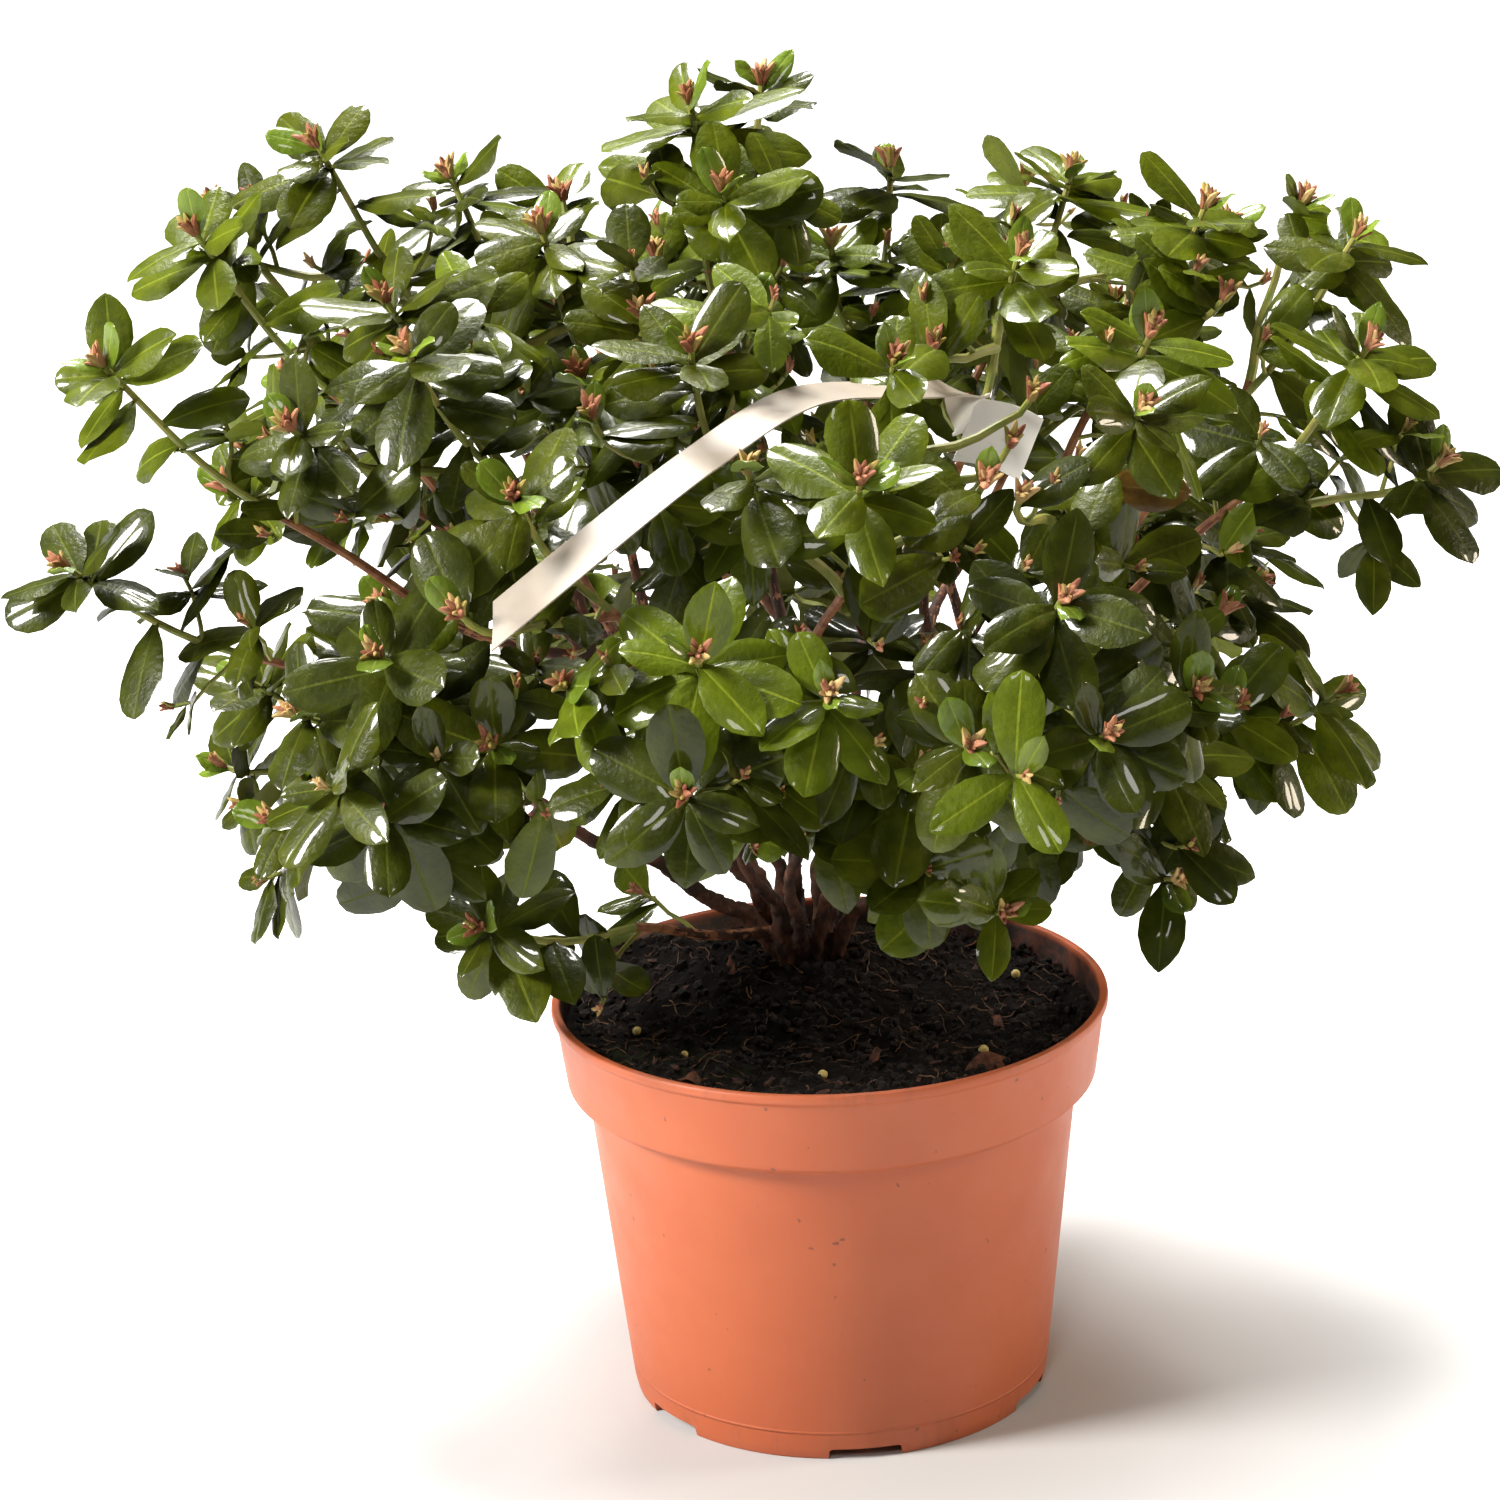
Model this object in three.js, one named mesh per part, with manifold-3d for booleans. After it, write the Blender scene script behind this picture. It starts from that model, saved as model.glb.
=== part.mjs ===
// An evergreen azalea in a plastic nursery pot: the pot, its root ball, a short trunk that forks at the soil
// into boughs, the masses of leafy shoots that the boughs carry, and a blank loop label hung on one stem.
// Millimetres, +Z up, +Y towards the back of the plant. The origin is the middle of the pot's underside.
import * as THREE from "three";
import { mergeVertices } from "three/addons/utils/BufferGeometryUtils.js";
import Module from "manifold-3d";

const wasm = await Module();
wasm.setup();

// ---- Driving dimensions ----
const GAP = 0.3; // between neighbouring solids

const POT_HEIGHT = 126;
const RIM_RADIUS = 85;
const BASE_RADIUS = 64.6;
const WALL = 1.4;
const COLLAR_RADIUS = 83.7; // just under the rim's lip
const COLLAR_TAPER = 2.8;
const COLLAR_DEPTH = 25.8; // from the rim down to the step
const COLLAR_OVERHANG = 6; // how far the collar stands out from the wall under it
const FOOT_HEIGHT = 4; // the ring and the middle pad that the pot stands on
const FOOT_WIDTH = 4.5;
const PAD_RADIUS = 20;
const FLOOR_TOP = 5.6;
const POT_SIDES = 36;
const NOTCHES = 6;
const NOTCH_WIDTH = 22;
const FIRST_NOTCH = -85; // azimuth in degrees
const HOLE_RADIUS = 4;
const HOLE_RING = 47;

const SOIL_EDGE = 120; // height of the soil where it meets the pot
const MOUND_HEIGHT = 11; // how far the root ball rises at the trunk
const MOUND_RADIUS = 46;
const SHRINK_AZIMUTH = 48; // where the root ball has drawn back from the wall
const SHRINK_DEPTH = 6;
const SOIL_GAP = 0.5; // between the root ball and the pot

const TRUNK = new THREE.Vector3(-8, 20, SOIL_EDGE + MOUND_HEIGHT); // its flat foot on the soil
const TRUNK_DOME = 12.5; // radius of the knuckle that the boughs fork from
const TRUNK_FLARE = 16;
const FORK_HEIGHT = 7; // the knuckle's centre above the foot

const KNUCKLE = 4; // radius of the fork at a bough's end
const STEM_RADIUS = 1.7; // a mass's stem where it leaves the fork
const STEM_SPREAD = 1.6; // how much wider stems leave a fork than their tips lie
const TIP_RADIUS = 1.3;
const SWAY = 2.5; // how far a limb wanders from its curve
const LIFT = 0.3; // how strongly tips turn to the light

const SHOOT_SPREAD = 38; // from the leading tip to the tips round it
const SHOOT_DROP = 15; // how far those lie below it
const SHOOT_TRIES = 9;
const LEAF_LENGTH = 38;
const LEAF_WIDTH = 23;
const LEAF_WIDEST = 0.56; // share of its length at which a leaf is widest, and at which it is thickest
const LEAF_THICKEST = 0.1;
const LEAF_THICKNESS = 1.5;
const LEAF_CURL = 0.12; // how far its tip curves down, of its length
const LEAF_SIZES = [1, 0.8, 0.64]; // the largest that fits its place is grown
const LEAF_ROOT = 0.45; // how far a leaf's root is sunk past its twig's middle
const ROOT_VOLUME = 0.9; // cubic millimetres of a leaf that may lie inside what it grows on
const LEAF_SPACING = 20; // between leaves down a shoot
const ROSETTE_LEAVES = 5;
const ROSETTE_STEP = 2.3; // between the leaves of a rosette, along the shoot
const LEAFY_SHARE = 0.62; // of a shoot's length, from its tip
const FACE_LIGHT = 1.2; // how strongly leaves' faces turn to it, from facing along their shoot
const ROLL = 30; // how far in degrees a leaf's face turns to either side
const GOLDEN_ANGLE = 137.5;
const SMOOTHING = 0.1; // the least detail kept where leaves and twigs are fused
const SEED = 41;

const LABEL_STEM = "top_right"; // the mass whose stem the label hangs on
const LABEL_PLACE = 0.6; // how far up that stem
const LABEL_WIDTH = 13.5;
const LABEL_THICKNESS = 0.7;
const LABEL_HEAD = [20, 23]; // width and height of the end plate
const LABEL_LOOP = 3.4; // inner radius of the band round the stem
const LABEL_BAND = 8; // that band's width
const LABEL_SLANT = 0.9; // of the cut end
const LABEL_PATH = [
  [42.3, -30, 318.8],
  [24.5, -48, 323.8],
  [-4.2, -80, 330.3],
  [-32.0, -110, 321.5],
  [-58.8, -138, 308.5],
  [-87.1, -158, 291.3],
];

// ---- Planting plan: azimuth in degrees from +X, reach and height in millimetres from the fork ----
// A bough: [name, azimuth, reach, height, radius at the trunk, slope in degrees where it leaves the trunk]
const BOUGHS = [
  ["left_low", 204, 83, 56, 2.9, 30],
  ["left_high", 184, 60, 92, 2.4, 51],
  ["front_left", 240, 66, 78, 2.3, 46],
  ["front", 268, 60, 66, 2.3, 32],
  ["front_right", 300, 62, 80, 2.3, 46],
  ["right_low", 335, 70, 54, 2.6, 28],
  ["right_high", 352, 58, 88, 2.4, 53],
  ["core_left", 205, 20, 106, 2.2, 75],
  ["core_right", 330, 24, 98, 2.2, 75],
  ["rear_left", 137, 60, 80, 2.3, 44],
  ["rear", 92, 54, 84, 2.3, 50],
  ["rear_right", 44, 60, 80, 2.3, 44],
];
// A mass of shoots: [name, its bough, azimuth, reach and height of its leading tip, number of shoots]
const MASSES = [
  ["left_reach", "left_low", 193, 214, 138, 1],
  ["left_skirt", "left_low", 218, 168, 85, 3],
  ["left_middle", "left_low", 180, 165, 88, 3],
  ["left_crest", "left_high", 172, 136, 246, 2],
  ["left_shoulder", "left_high", 187, 169, 229, 2],
  ["left_tip", "left_high", 192, 199, 196, 1],
  ["front_left_crest", "front_left", 232, 164, 217, 3],
  ["front_left_face", "front_left", 246, 178, 184, 3],
  ["front_left_skirt", "front_left", 233, 186, 138, 4],
  ["front_crest", "front", 276, 171, 187, 3],
  ["front_face", "front", 262, 187, 145, 4],
  ["front_skirt", "front", 284, 138, 96, 4],
  ["front_right_crest", "front_right", 304, 168, 196, 3],
  ["front_right_face", "front_right", 291, 193, 156, 4],
  ["right_skirt", "right_low", 315, 150, 90, 4],
  ["right_reach", "right_low", 349, 164, 80, 2],
  ["right_middle", "right_low", 8, 140, 116, 4],
  ["right_crest", "right_high", 1, 126, 221, 3],
  ["right_shoulder", "right_high", 357, 169, 213, 2],
  ["right_tip", "right_high", 340, 176, 192, 2],
  ["top_leader", "core_left", 178, 24, 258, 3],
  ["top_left", "core_left", 204, 74, 228, 4],
  ["top_front", "core_left", 257, 113, 210, 4],
  ["top_right", "right_high", 324, 84, 220, 3],
  ["top_front_right", "core_right", 285, 114, 204, 3],
  ["top_back", "core_right", 59, 70, 226, 3],
  ["rear_left_crest", "rear_left", 145, 121, 226, 3],
  ["rear_left_face", "rear_left", 150, 178, 160, 3],
  ["rear_left_skirt", "rear_left", 124, 168, 100, 3],
  ["rear_crest", "rear", 98, 88, 210, 3],
  ["rear_face", "rear", 100, 170, 172, 3],
  ["rear_skirt", "rear", 80, 168, 104, 3],
  ["rear_right_crest", "rear_right", 44, 130, 216, 3],
  ["rear_right_face", "rear_right", 52, 180, 162, 3],
  ["rear_right_skirt", "rear_right", 28, 168, 104, 3],
  ["low_shoot", "trunk", 222, 125, 36, 1],
];

// ---- Materials ----
const finish = (color, roughness) =>
  new THREE.MeshStandardMaterial({ color, roughness, metalness: 0 });
const TERRACOTTA_PLASTIC = finish(0xc96a43, 0.45);
const PEAT = finish(0x1c120c, 0.95);
const BARK = finish(0x6e3f26, 0.8);
const FOLIAGE = finish(0x2a4a1a, 0.35);
const LABEL_PLASTIC = finish(0xe9e2d8, 0.5);

// ---- Working with solids ----
function solidOf(geometry) {
  const bare = geometry.clone();
  bare.deleteAttribute("normal");
  bare.deleteAttribute("uv");
  const merged = mergeVertices(bare, 1e-3);
  return new wasm.Manifold(
    new wasm.Mesh({
      numProp: 3,
      vertProperties: new Float32Array(merged.attributes.position.array),
      triVerts: new Uint32Array(merged.index.array),
    }),
  );
}

function geometryOf(solid) {
  const { vertProperties, triVerts } = solid.getMesh();
  const geometry = new THREE.BufferGeometry();
  geometry.setAttribute("position", new THREE.BufferAttribute(vertProperties, 3));
  geometry.setIndex(new THREE.BufferAttribute(triVerts, 1));
  return geometry;
}

function meshOf(name, solid, material) {
  const geometry = geometryOf(solid);
  geometry.computeVertexNormals();
  const mesh = new THREE.Mesh(geometry, material);
  mesh.name = name;
  return mesh;
}

const fused = (solids) => solids.reduce((whole, solid) => whole.add(solid));

// The largest body of a solid, without loose scraps or sealed hollows.
const mainBody = (solid) =>
  solid.decompose().reduce((best, body) => (body.volume() > best.volume() ? body : best));

// Moves every vertex of a geometry by a function of its place.
function reshape(geometry, place) {
  const position = geometry.attributes.position;
  const vertex = new THREE.Vector3();
  for (let i = 0; i < position.count; i++) {
    vertex.fromBufferAttribute(position, i);
    position.setXYZ(i, ...place(vertex).toArray());
  }
  return geometry;
}

// A lathe turned round Z from a profile of [radius, height] points that runs up its outside.
function turned(profile, sides) {
  const points = profile.map(([radius, height]) => new THREE.Vector2(radius, height));
  return new THREE.LatheGeometry(points, sides).rotateX(Math.PI / 2);
}

// ---- Directions and seeded chance ----
const UP = new THREE.Vector3(0, 0, 1);
const LIGHT = new THREE.Vector3(-0.1, -0.6, 0.8).normalize(); // where the plant's light comes from
const radians = THREE.MathUtils.degToRad;

function polar(azimuth, reach, height) {
  return new THREE.Vector3(
    reach * Math.cos(radians(azimuth)),
    reach * Math.sin(radians(azimuth)),
    height,
  );
}

function seeded(seed) {
  let state = seed >>> 0;
  return () => {
    state = (state * 1664525 + 1013904223) >>> 0;
    return state / 4294967296;
  };
}

// Two directions square to an axis and to each other.
function acrossOf(axis) {
  const side = new THREE.Vector3().crossVectors(UP, axis).normalize();
  return [side, new THREE.Vector3().crossVectors(axis, side)];
}

const FORK = TRUNK.clone().add(new THREE.Vector3(0, 0, FORK_HEIGHT));

// Shoots point away from the fork and turn a little to the light.
function growingDirection(point) {
  return point.clone().sub(FORK).normalize().addScaledVector(LIGHT, LIFT).normalize();
}

// ---- Limbs ----
// A limb's centre line: it leaves one point in one direction, reaches another in another, and sways between.
class LimbCurve extends THREE.Curve {
  constructor(start, startDirection, end, endDirection, sway, phase) {
    super();
    const length = start.distanceTo(end);
    Object.assign(this, { start, end, sway, phase });
    this.leaving = startDirection.clone().multiplyScalar(length);
    this.arriving = endDirection.clone().multiplyScalar(length);
    this.across = acrossOf(end.clone().sub(start).normalize());
  }

  getPoint(t, target = new THREE.Vector3()) {
    const square = t * t;
    const cube = square * t;
    const swing = this.sway * Math.sin(Math.PI * t);
    return target
      .copy(this.start)
      .multiplyScalar(2 * cube - 3 * square + 1)
      .addScaledVector(this.leaving, cube - 2 * square + t)
      .addScaledVector(this.end, 3 * square - 2 * cube)
      .addScaledVector(this.arriving, cube - square)
      .addScaledVector(this.across[0], swing * Math.sin(3 * Math.PI * t + this.phase))
      .addScaledVector(this.across[1], swing * Math.cos(3 * Math.PI * t + this.phase));
  }
}

// A tapering limb: a closed cylinder whose rings are moved onto the curve.
function limbSolid(curve, startRadius, endRadius, sides, steps) {
  const frames = curve.computeFrenetFrames(steps);
  const geometry = new THREE.CylinderGeometry(endRadius, startRadius, 1, sides, steps);
  return solidOf(
    reshape(geometry, ({ x, y, z }) => {
      const step = Math.round((y + 0.5) * steps);
      return curve
        .getPointAt(step / steps)
        .addScaledVector(frames.binormals[step], x)
        .addScaledVector(frames.normals[step], z);
    }),
  );
}

const limbs = []; // every bough and leading stem, as points that leaves keep clear of
const LIMB_SAMPLES = 40;

function recordLimb(owner, curve, radius) {
  limbs.push({ owner, radius, points: curve.getSpacedPoints(LIMB_SAMPLES) });
}

// ---- Pot ----
const STEP_HEIGHT = POT_HEIGHT - COLLAR_DEPTH;
const COLLAR_FOOT = COLLAR_RADIUS - COLLAR_TAPER;
const WALL_TOP = COLLAR_FOOT - COLLAR_OVERHANG;

function potSolid() {
  const profile = [
    [0, 0],
    [PAD_RADIUS - 1, 0],
    [PAD_RADIUS, FOOT_HEIGHT],
    [BASE_RADIUS - FOOT_WIDTH, FOOT_HEIGHT],
    [BASE_RADIUS - FOOT_WIDTH + 0.5, 0],
    [BASE_RADIUS - 0.9, 0],
    [BASE_RADIUS, FOOT_HEIGHT],
    [WALL_TOP, STEP_HEIGHT - 2.2],
    [COLLAR_FOOT - 1.2, STEP_HEIGHT - 0.3],
    [COLLAR_FOOT, STEP_HEIGHT + 1],
    [COLLAR_RADIUS, POT_HEIGHT - 3.5],
    [RIM_RADIUS, POT_HEIGHT - 2.5],
    [RIM_RADIUS - 0.3, POT_HEIGHT],
    [COLLAR_RADIUS - WALL, POT_HEIGHT],
    [COLLAR_FOOT - WALL, STEP_HEIGHT + 2.6],
    [WALL_TOP - WALL, STEP_HEIGHT - 0.6],
    [BASE_RADIUS - WALL, FLOOR_TOP],
    [0, FLOOR_TOP],
  ];
  let pot = solidOf(turned(profile, POT_SIDES));
  const notch = new THREE.BoxGeometry(2 * FOOT_WIDTH + 4, NOTCH_WIDTH, 2 * FOOT_HEIGHT - 1);
  notch.translate(BASE_RADIUS, 0, 0);
  const hole = new THREE.CylinderGeometry(HOLE_RADIUS, HOLE_RADIUS, 3 * FLOOR_TOP, 6);
  hole.rotateX(Math.PI / 2).translate(HOLE_RING, 0, 0);
  for (let i = 0; i < NOTCHES; i++) {
    const turn = radians(FIRST_NOTCH + (i * 360) / NOTCHES);
    pot = pot.subtract(solidOf(notch.clone().rotateZ(turn)));
    pot = pot.subtract(solidOf(hole.clone().rotateZ(turn)));
  }
  return mainBody(pot);
}

// ---- Root ball ----
// Height of the soil: level near the wall, and mounded round the trunk with a flat patch under its foot.
function soilHeight(x, y) {
  const distance = Math.hypot(x - TRUNK.x, y - TRUNK.y);
  const slope = THREE.MathUtils.smoothstep(distance, TRUNK_FLARE + 1, MOUND_RADIUS + 12);
  return TRUNK.z - GAP - MOUND_HEIGHT * slope;
}

function soilSolid() {
  const topRadius = COLLAR_RADIUS - WALL - SOIL_GAP - 0.8;
  const profile = [
    [0, FLOOR_TOP + GAP],
    [BASE_RADIUS - WALL - SOIL_GAP, FLOOR_TOP + GAP],
    [WALL_TOP - WALL - SOIL_GAP, STEP_HEIGHT - 0.2],
    [COLLAR_FOOT - WALL - SOIL_GAP, STEP_HEIGHT + 3],
    [topRadius, SOIL_EDGE],
    [0.86 * topRadius, SOIL_EDGE],
    [0.62 * topRadius, SOIL_EDGE],
    [0.4 * topRadius, SOIL_EDGE],
    [TRUNK_FLARE + 1, SOIL_EDGE],
    [0, SOIL_EDGE],
  ];
  const shrinkAt = polar(SHRINK_AZIMUTH, 1, 0);
  return solidOf(
    reshape(turned(profile, POT_SIDES), (point) => {
      if (point.z < SOIL_EDGE - 1) return point;
      // The top's inner rings slide towards the trunk, so that the innermost one lies round its foot.
      const radius = Math.hypot(point.x, point.y);
      const pull = 1 - THREE.MathUtils.smoothstep(radius, TRUNK_FLARE + 1, topRadius);
      const outward = point.clone().setZ(0).normalize();
      const shrink = radius > 0.9 * topRadius ? SHRINK_DEPTH * Math.max(0, outward.dot(shrinkAt)) ** 4 : 0;
      const x = point.x + TRUNK.x * pull - outward.x * shrink;
      const y = point.y + TRUNK.y * pull - outward.y * shrink;
      return point.set(x, y, soilHeight(x, y));
    }),
  );
}

// ---- Trunk and boughs ----
function trunkSolid() {
  const profile = [
    [0, 0],
    [TRUNK_FLARE, 0],
    [TRUNK_FLARE - 2.5, 1.6],
  ];
  for (const rise of [0, 22.5, 45, 67.5]) {
    const angle = radians(rise);
    profile.push([TRUNK_DOME * Math.cos(angle), FORK_HEIGHT + TRUNK_DOME * Math.sin(angle)]);
  }
  profile.push([0, FORK_HEIGHT + TRUNK_DOME]);
  return solidOf(turned(profile, 14).translate(...TRUNK.toArray()));
}

const boughTips = { trunk: { point: FORK, radius: TRUNK_DOME } };

function boughCurve([, azimuth, reach, height, , slope], phase) {
  const leaving = polar(azimuth, Math.cos(radians(slope)), Math.sin(radians(slope)));
  const start = FORK.clone().addScaledVector(leaving, TRUNK_DOME + GAP);
  const end = FORK.clone().add(polar(azimuth, reach, height));
  return new LimbCurve(start, leaving, end, growingDirection(end), SWAY, phase);
}

function boughSolid(row, index) {
  const [name, , , , radius] = row;
  const phase = seeded(SEED + index)() * 2 * Math.PI;
  const curve = boughCurve(row, phase);
  const tip = curve.getPoint(1);
  boughTips[name] = { point: tip, radius: KNUCKLE };
  recordLimb(name, curve, radius);
  const limb = limbSolid(curve, radius, 0.7 * radius, 5, 7);
  const knuckle = new THREE.IcosahedronGeometry(KNUCKLE, 1).translate(...tip.toArray());
  return limb.add(solidOf(knuckle));
}

// ---- Shoots of a mass ----
// The mass's own stem leaves its fork spread wider than its tip lies, so that stems of one fork part at once.
function stemCurve([, boughName, azimuth, reach, height], spreadFrom, random) {
  const fork = boughTips[boughName];
  const tip = FORK.clone().add(polar(azimuth, reach, height));
  const straight = tip.clone().sub(fork.point).normalize();
  const leaving = straight.clone().addScaledVector(straight.clone().sub(spreadFrom), STEM_SPREAD).normalize();
  const start = fork.point.clone().addScaledVector(leaving, fork.radius + GAP);
  return new LimbCurve(start, leaving, tip, growingDirection(tip), SWAY, random() * 2 * Math.PI);
}

// Side shoots leave the stem at seeded places for tips in a ring below the leading tip. Places round the ring
// are tried in turn until enough of them keep to the mass's own space.
function sideShoots(index, stem, random) {
  const wanted = MASSES[index][5] - 1;
  const tip = stem.getPoint(1);
  const direction = growingDirection(tip);
  const [side, above] = acrossOf(direction);
  const turn = random() * 360;
  const shoots = [];
  for (let i = 0; i < SHOOT_TRIES && shoots.length < wanted; i++) {
    const angle = radians(turn + i * GOLDEN_ANGLE);
    const spread = SHOOT_SPREAD * (0.8 + 0.4 * random());
    const drop = SHOOT_DROP * (0.4 + 1.2 * random());
    const foot = stem.getPointAt(0.55 + 0.25 * random());
    const end = tip
      .clone()
      .addScaledVector(side, spread * Math.cos(angle))
      .addScaledVector(above, spread * Math.sin(angle))
      .addScaledVector(direction, -drop);
    const leaving = end.clone().sub(foot).normalize();
    const phase = random() * 2 * Math.PI;
    const shoot = new LimbCurve(foot, leaving, end, growingDirection(end), 0.4 * SWAY, phase);
    if (fits(shoot.getSpacedPoints(20), foot, 1.2 * foot.distanceTo(end), index)) shoots.push(shoot);
  }
  return shoots;
}

// ---- Leaves ----
// A point of a leaf: its share of the length, how far across its half width, and how far above its middle.
function onLeaf({ root, direction, face }, size, share, across, above) {
  const length = LEAF_LENGTH * size;
  return root
    .clone()
    .addScaledVector(direction, share * (length + LEAF_ROOT) - LEAF_ROOT)
    .addScaledVector(new THREE.Vector3().crossVectors(direction, face), across * size * (LEAF_WIDTH / 2))
    .addScaledVector(face, above * (LEAF_THICKNESS / 2) - LEAF_CURL * length * share * share);
}

// A leaf of eight faces, widest past its middle and thickest near its root, with its tip curving down.
const leafGeometry = (place, size) =>
  reshape(new THREE.OctahedronGeometry(1), ({ x, y, z }) => {
    const share = y > 0.5 ? 1 : LEAF_WIDEST * Math.abs(x) + LEAF_THICKEST * Math.abs(z);
    return onLeaf(place, size, share, x, z);
  });

// Points spread over a leaf, to test whether it fits.
function leafPoints(place, size) {
  const points = [];
  for (let share = 0; share <= 1.01; share += 0.1) {
    const breadth = Math.min(share / LEAF_WIDEST, (1 - share) / (1 - LEAF_WIDEST));
    for (let across = -1; across <= 1.01; across += 1 / 3) {
      points.push(onLeaf(place, size, share, across * breadth, 0));
    }
  }
  return points;
}

// Where the leaves of one shoot stand: a rosette at the tip, then single leaves down to where it is bare.
function leafPlaces(curve, random) {
  const places = [];
  const length = curve.getLength();
  const turn = random() * 360;
  const add = (back, angle, opening, size, droop) => {
    const share = Math.max(0.02, 1 - back / length);
    const axis = curve.getTangentAt(share);
    const [side, above] = acrossOf(axis);
    const direction = axis
      .clone()
      .multiplyScalar(Math.cos(radians(opening)))
      .addScaledVector(side, Math.sin(radians(opening)) * Math.cos(radians(angle)))
      .addScaledVector(above, Math.sin(radians(opening)) * Math.sin(radians(angle)))
      .addScaledVector(UP, -droop)
      .normalize();
    const face = axis.clone().addScaledVector(LIGHT, FACE_LIGHT);
    face.addScaledVector(direction, -face.dot(direction)).normalize();
    face.applyAxisAngle(direction, radians(ROLL * (2 * random() - 1)));
    places.push({ root: curve.getPointAt(share), direction, face, size });
  };
  for (let i = 0; i < ROSETTE_LEAVES; i++) {
    const angle = turn + (2 * i * 360) / ROSETTE_LEAVES + 20 * (random() - 0.5);
    add(1.5 + ROSETTE_STEP * i, angle, 62 + 3 * i + 10 * random(), 0.85 + 0.25 * random(), 0.1);
  }
  const first = ROSETTE_STEP * ROSETTE_LEAVES + LEAF_SPACING / 2;
  for (let back = first, i = 0; back < length * LEAFY_SHARE; back += LEAF_SPACING, i++) {
    add(back, turn + 40 + i * GOLDEN_ANGLE, 64 + 20 * random(), 0.9 + 0.25 * random(), 0.25);
  }
  return places;
}

// ---- Label ----
// A strip whose face turns towards one side all along its path, cut on a slant at its far end.
function stripSolid(curve, width, thickness, facing) {
  const steps = 14;
  const geometry = new THREE.BoxGeometry(1, width, thickness, steps, 1, 1);
  return solidOf(
    reshape(geometry, ({ x, y, z }) => {
      const share = x + 0.5;
      const tangent = curve.getTangentAt(share);
      const face = facing.clone().addScaledVector(tangent, -facing.dot(tangent)).normalize();
      const side = new THREE.Vector3().crossVectors(face, tangent);
      const slant = share > 0.99 ? LABEL_SLANT * y : 0;
      return curve
        .getPointAt(share)
        .addScaledVector(tangent, slant)
        .addScaledVector(side, y)
        .addScaledVector(face, z);
    }),
  );
}

// The label: a band round the stem it hangs on, an end plate in front of the band, and its long strip.
function labelSolid() {
  const { stem } = growth[MASSES.findIndex(([name]) => name === LABEL_STEM)];
  const centre = stem.getPointAt(LABEL_PLACE);
  const outer = LABEL_LOOP + LABEL_THICKNESS;
  const ring = [
    [LABEL_LOOP, -LABEL_BAND / 2],
    [outer, -LABEL_BAND / 2],
    [outer, LABEL_BAND / 2],
    [LABEL_LOOP, LABEL_BAND / 2],
    [LABEL_LOOP, -LABEL_BAND / 2],
  ];
  const lean = new THREE.Quaternion().setFromUnitVectors(UP, stem.getTangentAt(LABEL_PLACE));
  const placed = (geometry) => geometry.applyQuaternion(lean).translate(...centre.toArray());
  const [width, height] = LABEL_HEAD;
  const plate = new THREE.BoxGeometry(width, LABEL_THICKNESS, height);
  plate.translate(width / 2 - 4, -outer + 0.2, 0);
  const start = new THREE.Vector3(-1, -outer + 0.1, 0).applyQuaternion(lean).add(centre);
  const path = [start, ...LABEL_PATH.map((place) => new THREE.Vector3(...place))];
  const curve = new THREE.CatmullRomCurve3(path);
  const facing = new THREE.Vector3(0.1, -0.95, 0.3);
  const strip = stripSolid(curve, LABEL_WIDTH, LABEL_THICKNESS, facing);
  const cutEnd = curve.getPoint(1).addScaledVector(curve.getTangent(1), LABEL_SLANT * (LABEL_WIDTH / 2));
  const stripPlaces = [...curve.getSpacedPoints(LIMB_SAMPLES), cutEnd];
  limbs.push({ owner: "label", radius: LABEL_WIDTH / 2, points: stripPlaces });
  limbs.push({ owner: "label", radius: height / 2, points: [centre.add(new THREE.Vector3(6, -4, 0))] });
  return mainBody(fused([solidOf(placed(turned(ring, 12))), solidOf(placed(plate)), strip]));
}

// ---- Keeping each mass to its own space ----
const LIMB_CLEARANCE = 1.7;
const POT_CLEARANCE = 2.5;

const sites = MASSES.map(([, , azimuth, reach, height]) => {
  const tip = FORK.clone().add(polar(azimuth, reach, height));
  return tip.clone().addScaledVector(growingDirection(tip), -SHOOT_DROP);
});

// True if a point is nearer to a mass's own site than to any other, with half a gap to the dividing plane.
function inOwnSpace(point, index) {
  const own = point.distanceToSquared(sites[index]);
  return sites.every((site, other) => {
    if (other === index) return true;
    const margin = GAP * sites[index].distanceTo(site);
    return point.distanceToSquared(site) - own > margin;
  });
}

function clearOfPot(point) {
  const fromAxis = Math.hypot(point.x, point.y);
  if (fromAxis > RIM_RADIUS + POT_CLEARANCE) return true;
  return point.z > Math.max(POT_HEIGHT, soilHeight(point.x, point.y)) + POT_CLEARANCE;
}

// Whether points round a middle, all within a reach of it, keep to a mass's space and clear of the rest.
function fits(points, middle, reach, index) {
  const near = limbs
    .filter(({ owner }) => owner !== MASSES[index][0])
    .flatMap(({ radius, points: places }) =>
      places
        .filter((place) => place.distanceTo(middle) < reach + radius + LIMB_CLEARANCE)
        .map((place) => ({ place, distance: radius + LIMB_CLEARANCE })),
    );
  return points.every(
    (point) =>
      inOwnSpace(point, index) &&
      clearOfPot(point) &&
      near.every(({ place, distance }) => place.distanceTo(point) > distance),
  );
}

// The largest leaf that fits a place without running through the leaves already there, or nothing.
function leafFor(place, grown, index) {
  for (const size of LEAF_SIZES) {
    const grownSize = size * place.size;
    if (!fits(leafPoints(place, grownSize), place.root, 1.1 * LEAF_LENGTH * grownSize, index)) continue;
    const leaf = solidOf(leafGeometry(place, grownSize));
    if (leaf.intersect(grown).volume() < ROOT_VOLUME) return leaf;
  }
  return null;
}

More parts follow.
